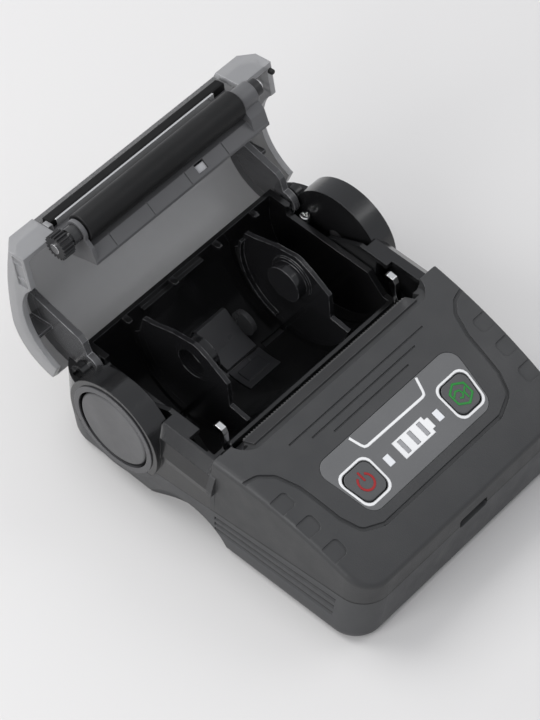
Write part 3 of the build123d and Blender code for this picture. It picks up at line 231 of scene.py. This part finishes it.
def moulded(name, color, roughness, grain=2600.0, bump=0.25, spread=0.08, gloss=0.06, specular=0.4,
            wear_and_highlight=0.2, worn_and_lit_edge=None, radius=0.0004, dust=0.015, coat=0.0):
    # Moulded resin: grained, uneven in tone and gloss, rubbed along its edges, with dust on top.
    rub_gain, rub_lift = 1.9, 0.015
    paint, shader = start_paint(name)
    tree = paint.node_tree
    grained = use_group(tree, grain_group, Scale=grain)
    edges = use_group(tree, wear_and_highlight_group, Radius=radius)
    dusty = use_group(tree, dust_group, Scale=dust_scale)
    dark = tuple(c * (1 - spread) for c in color)
    light = tuple(c * (1 + spread) for c in color)
    worn_and_lit_tone = worn_and_lit_edge or tuple(min(1.0, c * rub_gain + rub_lift) for c in color)
    tone = add_mix(tree, grained["Tone"], dark, light)
    # Worn edges; on the smoky resins this mix paints a highlight along the edges.
    tone = add_mix(tree, add_math(tree, "MULTIPLY", edges["Wear and highlight"], wear_and_highlight), tone, worn_and_lit_tone)
    tone = add_mix(tree, add_math(tree, "MULTIPLY", dusty["Dust"], dust), tone, dust_color)
    tree.links.new(tone, shader.inputs["Base Color"])
    dull = add_range(tree, grained["Gloss"], 0.0, 1.0, roughness - gloss, roughness + gloss)
    tree.links.new(dull, shader.inputs["Roughness"])
    add_relief(tree, grained["Height"], edges["Normal"], strength=bump, depth=0.00008)
    shader.inputs["Coat Weight"].default_value = coat
    shader.inputs["Coat Roughness"].default_value = 0.12
    shader.inputs["Specular IOR Level"].default_value = specular
    return paint


def split_place(tree):
    # The place on the piece, as separate distances across (X), back (Y) and up (Z).
    place = tree.nodes.new("ShaderNodeTexCoord")
    split = tree.nodes.new("ShaderNodeSeparateXYZ")
    tree.links.new(place.outputs["Object"], split.inputs["Vector"])
    return split.outputs


def overlay(paint, mask, color):
    # Lays a colour over the paint's own tone where the mask is strong.
    tree = paint.node_tree
    base = tree.nodes["Principled BSDF"].inputs["Base Color"]
    tree.links.new(add_mix(tree, mask, base.links[0].from_socket, color), base)


def paint_gap_shade(paint, height, half_width, front=-0.08, rear=0.1):
    # Paints a narrow level line of shade on the walls, in the gap where mouldings meet and along
    # grooves.
    fade, end_fade, painted_shade_black = 1.6, 0.0006, (0.006, 0.006, 0.006)
    middle, reach = (front + rear) / 2, (rear - front) / 2
    tree = paint.node_tree
    place = split_place(tree)
    away = add_math(tree, "ABSOLUTE", add_math(tree, "SUBTRACT", place["Z"], height))
    line = add_range(tree, away, half_width, half_width * fade, to_low=1.0, to_high=0.0)
    along = add_math(tree, "ABSOLUTE", add_math(tree, "SUBTRACT", place["Y"], middle))
    span = add_range(tree, along, reach - end_fade, reach, to_low=1.0, to_high=0.0)
    overlay(paint, add_math(tree, "MULTIPLY", line, span), painted_shade_black)


def finish_nodes(paint, *names):
    for name in names:
        mesh = nodes[name].data
        mesh.materials.clear()
        mesh.materials.append(paint)


lower_paint = moulded("charcoal_lower", (0.055, 0.056, 0.058), 0.46, grain=tray_grain, bump=0.3,
                      spread=0.05)
# Painted shade in the seam's gap and along the three side grooves.
paint_gap_shade(lower_paint, seam_height, seam_half_width)
for groove_height in groove_heights:
    paint_gap_shade(lower_paint, groove_height, groove_half_width, groove_front, groove_rear)
finish_nodes(lower_paint, "lower_case")
door_paint = moulded("charcoal_door", (0.045, 0.046, 0.048), 0.5, grain=tray_grain)
finish_nodes(door_paint, "battery_door")

# Battery pack.
# Two flat cells in black shrink film, laid on the battery door with its seam along one side.
film_paint = moulded("shrink_film", (0.012, 0.012, 0.014), 0.3, grain=500.0, bump=0.12, coat=0.3)
finish_nodes(film_paint, "battery_pack")

# Main board, switch board and charging port.
# Glass-fibre boards with green solder mask over copper tracks.
# The port's shell is drawn from plated steel and soldered to the main board.
mask_greens = {"Color1": (0.012, 0.09, 0.035), "Color2": (0.015, 0.11, 0.045)}
track_green = (0.04, 0.2, 0.07)
shade_green = (0.01, 0.07, 0.03)
board_paint, board_shader = start_paint("solder_mask")
board_tree = board_paint.node_tree
tracks = board_tree.nodes.new("ShaderNodeTexBrick")
track_place = board_tree.nodes.new("ShaderNodeTexCoord")
board_tree.links.new(track_place.outputs["Object"], tracks.inputs["Vector"])
tracks.inputs["Scale"].default_value = 320.0
tracks.inputs["Mortar Size"].default_value = 0.05
for label, green in mask_greens.items():
    feed(board_tree, tracks.inputs[label], green)
feed(board_tree, tracks.inputs["Mortar"], track_green)
mottle = add_noise(board_tree, scale=150.0, detail=4.0)
board_tone = add_mix(board_tree, mottle, tracks.outputs["Color"], shade_green)
board_tree.links.new(board_tone, board_shader.inputs["Base Color"])
board_shader.inputs["Roughness"].default_value = 0.35
finish_nodes(board_paint, "main_board", "switch_board")


def metal(name, color, roughness, stretch=(1, 1, 1), scale=400.0, bump=0.1, tint=0.12):
    # Bare or plated metal with drawn or ground lines; stretch sets which way they run.
    bright_share, dull_share = 0.7, 1.4
    paint, shader = start_paint(name)
    tree = paint.node_tree
    lines = add_noise(tree, scale, detail=4.0, stretch=stretch)
    smudge = add_noise(tree, scale=120.0, detail=4.0)
    edges = use_group(tree, wear_and_highlight_group, Radius=0.00025)
    dark = tuple(c * (1 - tint) for c in color)
    tree.links.new(add_mix(tree, lines, dark, color), shader.inputs["Base Color"])
    dull = add_range(tree, smudge, noise_low, noise_high, roughness * bright_share,
                     roughness * dull_share)
    tree.links.new(dull, shader.inputs["Roughness"])
    add_relief(tree, lines, edges["Normal"], strength=bump, depth=0.00005)
    shader.inputs["Metallic"].default_value = 1.0
    return paint


finish_nodes(metal("drawn_shell", (0.62, 0.62, 0.63), 0.28), "usb_port")

# Thermal print head on its frame, with the drive.
# A glazed ceramic heater plate on an anodised carrier; the frame is folded steel sheet and carries
# the geared motor, its brass pinion and the moulded idler.
carrier_metal = metal("anodised_carrier", (0.2, 0.2, 0.21), 0.4, stretch=(1, 30, 30), scale=60.0)
finish_nodes(carrier_metal, "print_head")
sheet_steel = metal("sheet_steel", (0.4, 0.4, 0.41), 0.34, stretch=(2, 60, 60), scale=30.0)
finish_nodes(sheet_steel, "mechanism_frame", "drive_motor")
cut_brass = metal("cut_brass", (0.55, 0.38, 0.14), 0.3, stretch=(40, 1, 1), scale=60.0)
finish_nodes(cut_brass, "motor_pinion")
gear_paint = moulded("gear_resin", (0.018, 0.018, 0.019), 0.4, grain=1800.0, bump=0.15, wear_and_highlight=0.35,
                     radius=0.0002)
finish_nodes(gear_paint, "idler_gear")

# Cover latch.
# Two hooks stamped from steel and nickel plated, pressed on a ground cross shaft.
# A leaf spring pushes them back.
plated = metal("nickel_plate", (0.86, 0.86, 0.85), 0.14, stretch=(1, 8, 8), scale=90.0, bump=0.06,
               tint=0.06)
turned_steel = metal("ground_steel", (0.6, 0.6, 0.6), 0.2, stretch=(60, 1, 1), scale=60.0)
finish_nodes(plated, "latch_hook_left", "latch_hook_right")
finish_nodes(turned_steel, "latch_shaft", "latch_spring")

# Roll bin.
# A deep trough moulded in glossy black ABS.
# The walls show faint flow marks and the rubbed line of many rolls.
gloss_black = moulded("gloss_black", (0.008, 0.008, 0.0084), 0.18, grain=700.0, bump=0.03,
                      spread=0.15, wear_and_highlight=0.7, worn_and_lit_edge=(0.05, 0.05, 0.052), dust=0.01, coat=0.4)
finish_nodes(gloss_black, "roll_bin")

# Catches along the top of the bin's back wall.
# Small glossy tabs moulded with the bin, that hold the cover's sill.
# Each has a narrower nose at its front. Blocks are sized in millimetres, moves in metres.
mm_per_m = 1000
catch_places = (-31.0, -8.0, 14.0, 33.0)
catch_width = 2.6
catch_front, catch_rear = 61.0, 63.4
catch_low, catch_high = 38.2, 40.2
nose_rim = 0.0004
nose_move = (0, -0.0012, 0.0004)


def set_pose(piece, matrix):
    # The finished piece keeps its place in its mesh, with its object at the origin.
    piece.data.transform(matrix)
    piece.data.update()


def start_block(name, low, high):
    # A block between two corners in millimetres, ready to be shaped.
    bpy.ops.object.select_all(action="DESELECT")
    bpy.ops.mesh.primitive_cube_add(size=1.0)
    piece = bpy.context.object
    piece.name = name
    low, high = Vector(low) / mm_per_m, Vector(high) / mm_per_m
    set_pose(piece, Matrix.Translation((low + high) / 2) @ Matrix.Diagonal((*(high - low), 1)))
    return piece


def draw_face(piece, facing, rim, move):
    # Insets the face that looks the given way by a rim, and moves what is inside the rim.
    facing_share = 0.9
    bpy.ops.object.mode_set(mode="EDIT")
    bpy.ops.mesh.select_all(action="DESELECT")
    bpy.ops.object.mode_set(mode="OBJECT")
    for polygon in piece.data.polygons:
        polygon.select = polygon.normal.dot(Vector(facing)) > facing_share
    bpy.ops.object.mode_set(mode="EDIT")
    bpy.ops.mesh.inset(thickness=rim)
    bpy.ops.transform.translate(value=move)
    bpy.ops.object.mode_set(mode="OBJECT")


def select_only(piece):
    bpy.ops.object.select_all(action="DESELECT")
    piece.select_set(True)
    bpy.context.view_layer.objects.active = piece


def soften(piece, width):
    # A bevel of the given width in millimetres on all sharp edges, applied.
    smooth_angle = 40
    select_only(piece)
    bevel = piece.modifiers.new("soft edges", "BEVEL")
    bevel.width = width / mm_per_m
    bevel.segments = 2
    bevel.limit_method = "ANGLE"
    bpy.ops.object.modifier_apply(modifier=bevel.name)
    bpy.ops.object.shade_smooth_by_angle(angle=math.radians(smooth_angle))


def dress(piece, paint, body):
    piece.data.materials.clear()
    piece.data.materials.append(paint)
    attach(piece, body)


for i, x in enumerate(catch_places):
    catch = start_block(f"bin_catch_{i}", (x, catch_front, catch_low),
                        (x + catch_width, catch_rear, catch_high))
    draw_face(catch, (0, -1, 0), nose_rim, nose_move)
    soften(catch, width=0.25)
    dress(catch, gloss_black, "case")

# Paper guides with the gear between their racks.
# Injection-moulded smoky polycarbonate plates, glossy and slightly see-through, each with a hub
# that enters the roll's core.
guide_smoke = (0.012, 0.012, 0.013)
# The pale rim is a painted highlight along the guides' edges.
guide_edge_highlight = (0.16, 0.16, 0.165)


def smoky(name, color, roughness, alpha, rim):
    # See-through resin: the rim colour is painted along the edges as a highlight, so they look
    # paler.
    paint = moulded(name, color, roughness, grain=600.0, bump=0.01, spread=0.03, gloss=0.02,
                    wear_and_highlight=0.9, worn_and_lit_edge=rim, radius=0.0007, dust=0.003, coat=0.1)
    paint.node_tree.nodes["Principled BSDF"].inputs["Alpha"].default_value = alpha
    return paint


guide_paint = smoky("smoky_guide", guide_smoke, 0.14, alpha=0.9, rim=guide_edge_highlight)
finish_nodes(guide_paint, "guide_left", "guide_right")
finish_nodes(gear_paint, "guide_pinion")

# Label sensor, its window plate and the stop knob.
# Satin grey resin parts clipped into the bin's floor; the window is a dark infra-red filter.
sensor_paint = moulded("satin_grey", (0.07, 0.07, 0.073), 0.33, grain=1500.0, bump=0.1, wear_and_highlight=0.4)
finish_nodes(sensor_paint, "label_sensor")
filter_paint = moulded("filter_plate", (0.045, 0.045, 0.048), 0.22, grain=900.0, bump=0.05,
                       wear_and_highlight=0.5)
finish_nodes(filter_paint, "sensor_plate")
knob_paint = moulded("knob_grey", (0.06, 0.06, 0.062), 0.25, grain=1200.0, bump=0.06, wear_and_highlight=0.5)
finish_nodes(knob_paint, "stop_knob")

# Upper case with the console.
# One moulding in the tray's charcoal resin, a shade darker, its top swept down to the front.
# Behind the tear edge the tool is polished, so the decks and the drums come out black and glossy.
polish_start, polish_fade = -0.0032, 0.0005
polish_cover, polish_black = 0.86, (0.0075, 0.0075, 0.008)
polish_smoothing, polish_coat = 0.25, 0.3
upper_paint = moulded("charcoal_upper", (0.038, 0.0385, 0.0395), 0.44, bump=0.3, spread=0.04,
                      wear_and_highlight=0.25)
upper_tree = upper_paint.node_tree
upper_inputs = upper_tree.nodes["Principled BSDF"].inputs
polished = add_range(upper_tree, split_place(upper_tree)["Y"], polish_start,
                     polish_start + polish_fade)
overlay(upper_paint, add_math(upper_tree, "MULTIPLY", polished, polish_cover), polish_black)
smoother = add_math(upper_tree, "MULTIPLY", polished, polish_smoothing)
grain_dull = upper_inputs["Roughness"].links[0].from_socket
upper_tree.links.new(add_math(upper_tree, "SUBTRACT", grain_dull, smoother),
                     upper_inputs["Roughness"])
upper_tree.links.new(add_math(upper_tree, "MULTIPLY", polished, polish_coat),
                     upper_inputs["Coat Weight"])
# Painted shade in the seam's gap.
paint_gap_shade(upper_paint, seam_height, seam_half_width)
finish_nodes(upper_paint, "upper_case")

# Tear blade.
# A dark toothed strip lying in the channel in front of the bin; its teeth are painted a paler grey.
teeth_start, teeth_fade = -0.0034, 0.0003
teeth_cover, teeth_grey = 0.9, (0.1, 0.1, 0.1)
blade_paint = moulded("toothed_edge", (0.04, 0.04, 0.041), 0.35, grain=2000.0, wear_and_highlight=0.6,
                      worn_and_lit_edge=(0.2, 0.2, 0.2), radius=0.0003)
blade_tree = blade_paint.node_tree
teeth = add_range(blade_tree, split_place(blade_tree)["Y"], teeth_start, teeth_start + teeth_fade,
                  to_high=teeth_cover)
overlay(blade_paint, teeth, teeth_grey)
finish_nodes(blade_paint, "tear_blade")

# Console panel and the white lines printed on it.
# A satin polycarbonate overlay let into the console; the outlines are screen-printed in white ink.
# Drawings are in millimetres, across and along the printer, seen from above.
panel_paint = moulded("panel_overlay", (0.122, 0.123, 0.125), 0.36, grain=3400.0, bump=0.2,
                      spread=0.04)
finish_nodes(panel_paint, "console_panel")
ink_white = moulded("white_ink", (0.78, 0.78, 0.78), 0.5, grain=3000.0, bump=0.1, spread=0.05,
                    wear_and_highlight=0.0, dust=0.03)
on_panel = (ink_white, "light_guide", "console_panel", "case")
key_place = (24.3, -42.9)
key_half, key_deep, key_lean = 5.7, 5.8, 1.2
frame_outside = {"grow": 1.4, "radius": 3.4}
frame_inside = {"grow": 0.55, "radius": 3.0}
bracket_line = 1.0
bar_places = (-4.8, 0.0, 4.8)
bar_half = 0.85
bar_front, bar_rear = -45.5, -40.3
strip_height = 1.1
drop_height = 0.09
join_gap = 0.000002
ink_lift = 0.00003
ink_thickness = 0.05


def rounded(corners, radius, count=6):
    # A closed outline with each corner turned into an arc of the given radius.
    outline = []
    for i, corner in enumerate(corners):
        here = Vector(corner)
        back = (Vector(corners[i - 1]) - here).normalized()
        ahead = (Vector(corners[(i + 1) % len(corners)]) - here).normalized()
        half = back.angle(ahead) / 2
        reach = radius / math.tan(half)
        start, end = here + back * reach, here + ahead * reach
        centre = here + (back + ahead).normalized() * (radius / math.sin(half))
        for k in range(count):
            share = k / (count - 1)
            spoke = (start - centre) * (1 - share) + (end - centre) * share
            outline.append(tuple(centre + spoke.normalized() * radius))
    return outline


def stroke(path, width):
    # The outline of a line of the given width along an open path, its sharp turns held back.
    sharpest = 0.4
    sides = ([], [])
    points = [Vector(p) for p in path]
    for i, here in enumerate(points):
        before = (here - points[i - 1]).normalized() if i else (points[1] - here).normalized()
        after = (points[i + 1] - here).normalized() if i < len(points) - 1 else before
        along = (before + after).normalized()
        across = Vector((-along.y, along.x)) * (width / 2 / max(sharpest, along.dot(before)))
        sides[0].append(tuple(here + across))
        sides[1].append(tuple(here - across))
    return sides[0] + sides[1][::-1]


def printed(name, outlines, paint, slot, target, body):
    # Ink on a curved face: a flat drawing is cut in strips, dropped on the face and made thick.
    curve = bpy.data.curves.new(name, "CURVE")
    curve.dimensions = "2D"
    curve.fill_mode = "BOTH"
    for outline in outlines:
        spline = curve.splines.new("POLY")
        spline.points.add(len(outline) - 1)
        for point, (x, y) in zip(spline.points, outline):
            point.co = (x / mm_per_m, y / mm_per_m, 0, 1)
        spline.use_cyclic_u = True
    piece = bpy.data.objects.new(name, curve)
    bpy.context.scene.collection.objects.link(piece)
    select_only(piece)
    bpy.ops.object.convert(target="MESH")
    piece = bpy.context.object
    bpy.ops.object.mode_set(mode="EDIT")
    low = min(y for outline in outlines for _, y in outline)
    high = max(y for outline in outlines for _, y in outline)
    for i in range(1, int((high - low) / strip_height) + 1):
        cut = (low + strip_height * i) / mm_per_m
        bpy.ops.mesh.select_all(action="SELECT")
        bpy.ops.mesh.bisect(plane_co=(0, cut, 0), plane_no=(0, 1, 0))
    bpy.ops.mesh.select_all(action="SELECT")
    bpy.ops.mesh.remove_doubles(threshold=join_gap)
    bpy.ops.object.mode_set(mode="OBJECT")
    set_pose(piece, Matrix.Translation((0, 0, drop_height)))
    drop = piece.modifiers.new("drop", "SHRINKWRAP")
    drop.wrap_method = "PROJECT"
    drop.use_project_z = True
    drop.use_negative_direction = True
    drop.use_positive_direction = False
    drop.target = nodes[target]
    drop.offset = ink_lift
    bpy.ops.object.modifier_apply(modifier=drop.name)
    body_of_ink = piece.modifiers.new("ink", "SOLIDIFY")
    body_of_ink.thickness = ink_thickness / mm_per_m
    body_of_ink.offset = 1.0
    bpy.ops.object.modifier_apply(modifier=body_of_ink.name)
    bpy.ops.object.mode_set(mode="EDIT")
    bpy.ops.mesh.select_all(action="SELECT")
    bpy.ops.mesh.normals_make_consistent(inside=False)
    bpy.ops.object.mode_set(mode="OBJECT")
    dress(piece, paint, body)


def key_frame(side, grow, radius):
    # An outline round a key: its outer edge leans out towards the back.
    x, y = side * key_place[0], key_place[1]
    half, deep = key_half + grow, key_deep + grow
    corners = [(x - side * half, y - deep), (x + side * (half - key_lean), y - deep),
               (x + side * (half + key_lean), y + deep), (x - side * half, y + deep)]
    return rounded(corners, radius)


for side, name in ((-1, "power"), (1, "feed")):
    frame_lines = [key_frame(side, **frame_outside), key_frame(side, **frame_inside)]
    printed(f"{name}_frame_print", frame_lines, *on_panel)
bracket = [(-17.0, -28.9), (-15.9, -33.2), (-15.3, -34.4), (-14.2, -34.8), (0.0, -35.0),
           (13.0, -35.2), (14.2, -34.9), (14.9, -33.9), (16.9, -28.9)]
printed("bracket_print", [stroke(bracket, bracket_line)], *on_panel)
cell = [(-7.6, -46.4), (7.4, -46.4), (7.4, -45.0), (8.9, -45.0), (8.9, -41.0), (7.4, -41.0),
        (7.4, -39.5), (-7.6, -39.5)]
bars = [[(x - bar_half, bar_front), (x + bar_half, bar_front), (x + bar_half, bar_rear),
         (x - bar_half, bar_rear)] for x in bar_places]
printed("charge_print", [cell] + bars, *on_panel)

# Keys with their signs.
# Charcoal caps flush with the panel.
# The power sign is printed in dark red, the paper-feed sign in green.
key_paint = moulded("key_cap", (0.075, 0.076, 0.078), 0.42, grain=3000.0, bump=0.2, wear_and_highlight=0.35)
finish_nodes(key_paint, "power_key", "feed_key")
ink_red = moulded("red_ink", (0.3, 0.012, 0.014), 0.45, grain=3000.0, bump=0.1, wear_and_highlight=0.0, dust=0.02)
ink_green = moulded("green_ink", (0.012, 0.22, 0.03), 0.45, grain=3000.0, bump=0.1, wear_and_highlight=0.0,
                    dust=0.02)
on_power = (ink_red, "key_cap", "power_key", "power_button")
on_feed = (ink_green, "key_cap", "feed_key", "feed_button")
power_place = (-key_place[0], key_place[1] - 0.3)
ring_outer, ring_inner = 3.3, 2.45
ring_start, ring_end, ring_points = 122, 418, 34
stem_half, stem_low, stem_high = 0.42, 0.4, 4.1
stem_corner = 0.3
hexagon_radii = (4.6, 3.65)
hexagon_corner = 0.7
feed_line = 0.7
small_arc = 4


def arc_points(centre, radius, first, last, count):
    step = (last - first) / (count - 1)
    return [(centre[0] + radius * math.cos(math.radians(first + step * i)),
             centre[1] + radius * math.sin(math.radians(first + step * i))) for i in range(count)]


def around(centre, offsets):
    return [(centre[0] + across, centre[1] + along) for across, along in offsets]


ring = (arc_points(power_place, ring_outer, ring_start, ring_end, ring_points)
        + arc_points(power_place, ring_inner, ring_end, ring_start, ring_points))
printed("power_ring_print", [ring], *on_power)
stem = around(power_place, ((-stem_half, stem_low), (stem_half, stem_low), (stem_half, stem_high),
                            (-stem_half, stem_high)))
printed("power_stem_print", [rounded(stem, stem_corner, small_arc)], *on_power)
hexagons = [arc_points(key_place, radius, first=30, last=330, count=6) for radius in hexagon_radii]
printed("feed_frame_print", [rounded(h, hexagon_corner, small_arc) for h in hexagons], *on_feed)
curl = around(key_place, ((-3.1, 0.4), (-1.2, 1.7), (0.3, 1.2), (0.6, -0.4), (-0.5, -1.4),
                          (-1.6, -0.8)))
printed("feed_curl_print", [stroke(curl, feed_line)], *on_feed)
strip = around(key_place, ((1.3, -2.6), (1.3, -0.2), (3.0, 1.0)))
printed("feed_strip_print", [stroke(strip, feed_line)], *on_feed)

# Light guides.
# Three grey bars show the charge and two white windows the state.
# All are milky resin rods over small lamps.
bar_paint = moulded("charge_bars", (0.3, 0.3, 0.31), 0.3, grain=900.0, bump=0.05, wear_and_highlight=0.1)
finish_nodes(bar_paint, "battery_light")
milky_paint = moulded("milky_window", (0.72, 0.73, 0.75), 0.3, grain=900.0, bump=0.05, wear_and_highlight=0.1)
finish_nodes(milky_paint, "status_lights")

# Side discs, their rings, the rear screws and the hinge pins.
# Each press disc is matt grey resin inside a glossy ring.
# The screws are plated and domed; the pins are ground steel.
ring_paint = moulded("ring_gloss", (0.06, 0.06, 0.063), 0.22, grain=900.0, bump=0.05, wear_and_highlight=0.5)
finish_nodes(ring_paint, "drum_ring_left", "drum_ring_right")
disc_paint = moulded("disc_matt", (0.09, 0.09, 0.092), 0.42, grain=2400.0, bump=0.3, wear_and_highlight=0.3)
finish_nodes(disc_paint, "side_disc_left", "side_disc_right")
finish_nodes(plated, "case_screw_left", "case_screw_right")
finish_nodes(turned_steel, "hinge_pin_left", "hinge_pin_right")

# Cover with its hinge arms.
# A smoky see-through moulding, 2.2 mm thick; its cheeks arch over the drums and its edges, like the
# arms', carry a painted highlight.
# The front lip between the cheeks, with the black bar behind it, is painted a darker grey than the
# rest.
lip_side, lip_side_end = 0.0436, 0.0441
lip_low, lip_full = 0.0795, 0.0805
lip_cover, lip_grey = 0.85, (0.045, 0.045, 0.047)
cover_paint = smoky("smoky_cover", (0.29, 0.291, 0.296), 0.3, alpha=0.7, rim=(0.5, 0.5, 0.51))
cover_tree = cover_paint.node_tree
cover_place = split_place(cover_tree)
across = add_range(cover_tree, add_math(cover_tree, "ABSOLUTE", cover_place["X"]), lip_side,
                   lip_side_end, to_low=1.0, to_high=0.0)
high = add_range(cover_tree, cover_place["Z"], lip_low, lip_full)
lip = add_math(cover_tree, "MULTIPLY", across, high)
overlay(cover_paint, add_math(cover_tree, "MULTIPLY", lip, lip_cover), lip_grey)
finish_nodes(cover_paint, "cover_shell")
arm_paint = smoky("smoky_arm", (0.1, 0.1, 0.103), 0.2, alpha=0.8, rim=(0.6, 0.6, 0.61))
finish_nodes(arm_paint, "cover_arms")

# Platen carrier with its front bar, tear strip and bumper.
# Opaque satin grey block fixed under the cover; the bar is black, the strip is bright steel and the
# bumper is rubber.
carrier_paint = moulded("carrier_satin", (0.1, 0.1, 0.103), 0.36, grain=2000.0, bump=0.15, wear_and_highlight=0.5)
finish_nodes(carrier_paint, "platen_carrier")
bar_black = moulded("bar_black", (0.006, 0.006, 0.0062), 0.65, grain=2000.0, bump=0.1,
                    specular=0.15, wear_and_highlight=0.1, dust=0.0)
finish_nodes(bar_black, "cover_bar")
finish_nodes(plated, "cover_strip")
bumper_paint = moulded("bumper_rubber", (0.01, 0.01, 0.01), 0.6, grain=3000.0, bump=0.2, wear_and_highlight=0.0)
finish_nodes(bumper_paint, "cover_bumper")

# Paper-end window in the carrier's lower face and the bar's end clip.
# The window is a frosted plate sunk in its opening; the clip is a grey saddle at the bar's left.
# Both are placed as on the closed cover and then swung open with it.
hinge = Vector((0, 0.0599, 0.0356))
cover_open = 100
swing = (Matrix.Translation(hinge) @ Matrix.Rotation(math.radians(-cover_open), 4, "X")
         @ Matrix.Translation(-hinge))
window_low, window_high = (-2.1, -1.6, -0.3), (2.1, 1.6, 0.3)
window_place = (0.0106, 0.01209, 0.03129)
window_slope = 45
clip_low, clip_high = (-44.1, 6.3, 48.0), (-42.05, 9.4, 51.6)
saddle_rim = 0.0007
saddle_depth = (0, 0, 0.0022)
window = start_block("carrier_window", window_low, window_high)
soften(window, width=0.2)
tilt = Matrix.Translation(window_place) @ Matrix.Rotation(math.radians(-window_slope), 4, "X")
set_pose(window, swing @ tilt)
frosted = moulded("frosted_plate", (0.5, 0.5, 0.51), 0.4, grain=1500.0, bump=0.1, wear_and_highlight=0.1)
dress(window, frosted, "cover")
clip = start_block("bar_clip", clip_low, clip_high)
draw_face(clip, (0, 0, -1), saddle_rim, saddle_depth)
soften(clip, width=0.3)
set_pose(clip, swing)
clip_paint = moulded("clip_grey", (0.22, 0.22, 0.225), 0.35, grain=1500.0, bump=0.1, wear_and_highlight=0.3)
dress(clip, clip_paint, "cover")

# Platen roller.
# Black silicone rubber ground true on a steel shaft, with a moulded gear at the left and plain
# bushings.
rubber = moulded("ground_rubber", (0.007, 0.007, 0.0072), 0.46, grain=4200.0, bump=0.3, spread=0.2,
                 specular=0.25, wear_and_highlight=0.1, dust=0.005)
finish_nodes(rubber, "platen_rubber")
finish_nodes(turned_steel, "platen_shaft")
bushing_paint = moulded("bushing_resin", (0.03, 0.03, 0.031), 0.3, grain=1800.0, bump=0.1, wear_and_highlight=0.5,
                        radius=0.0003)
finish_nodes(bushing_paint, "platen_bushing_left")
finish_nodes(gear_paint, "platen_gear", "platen_bushing_right")
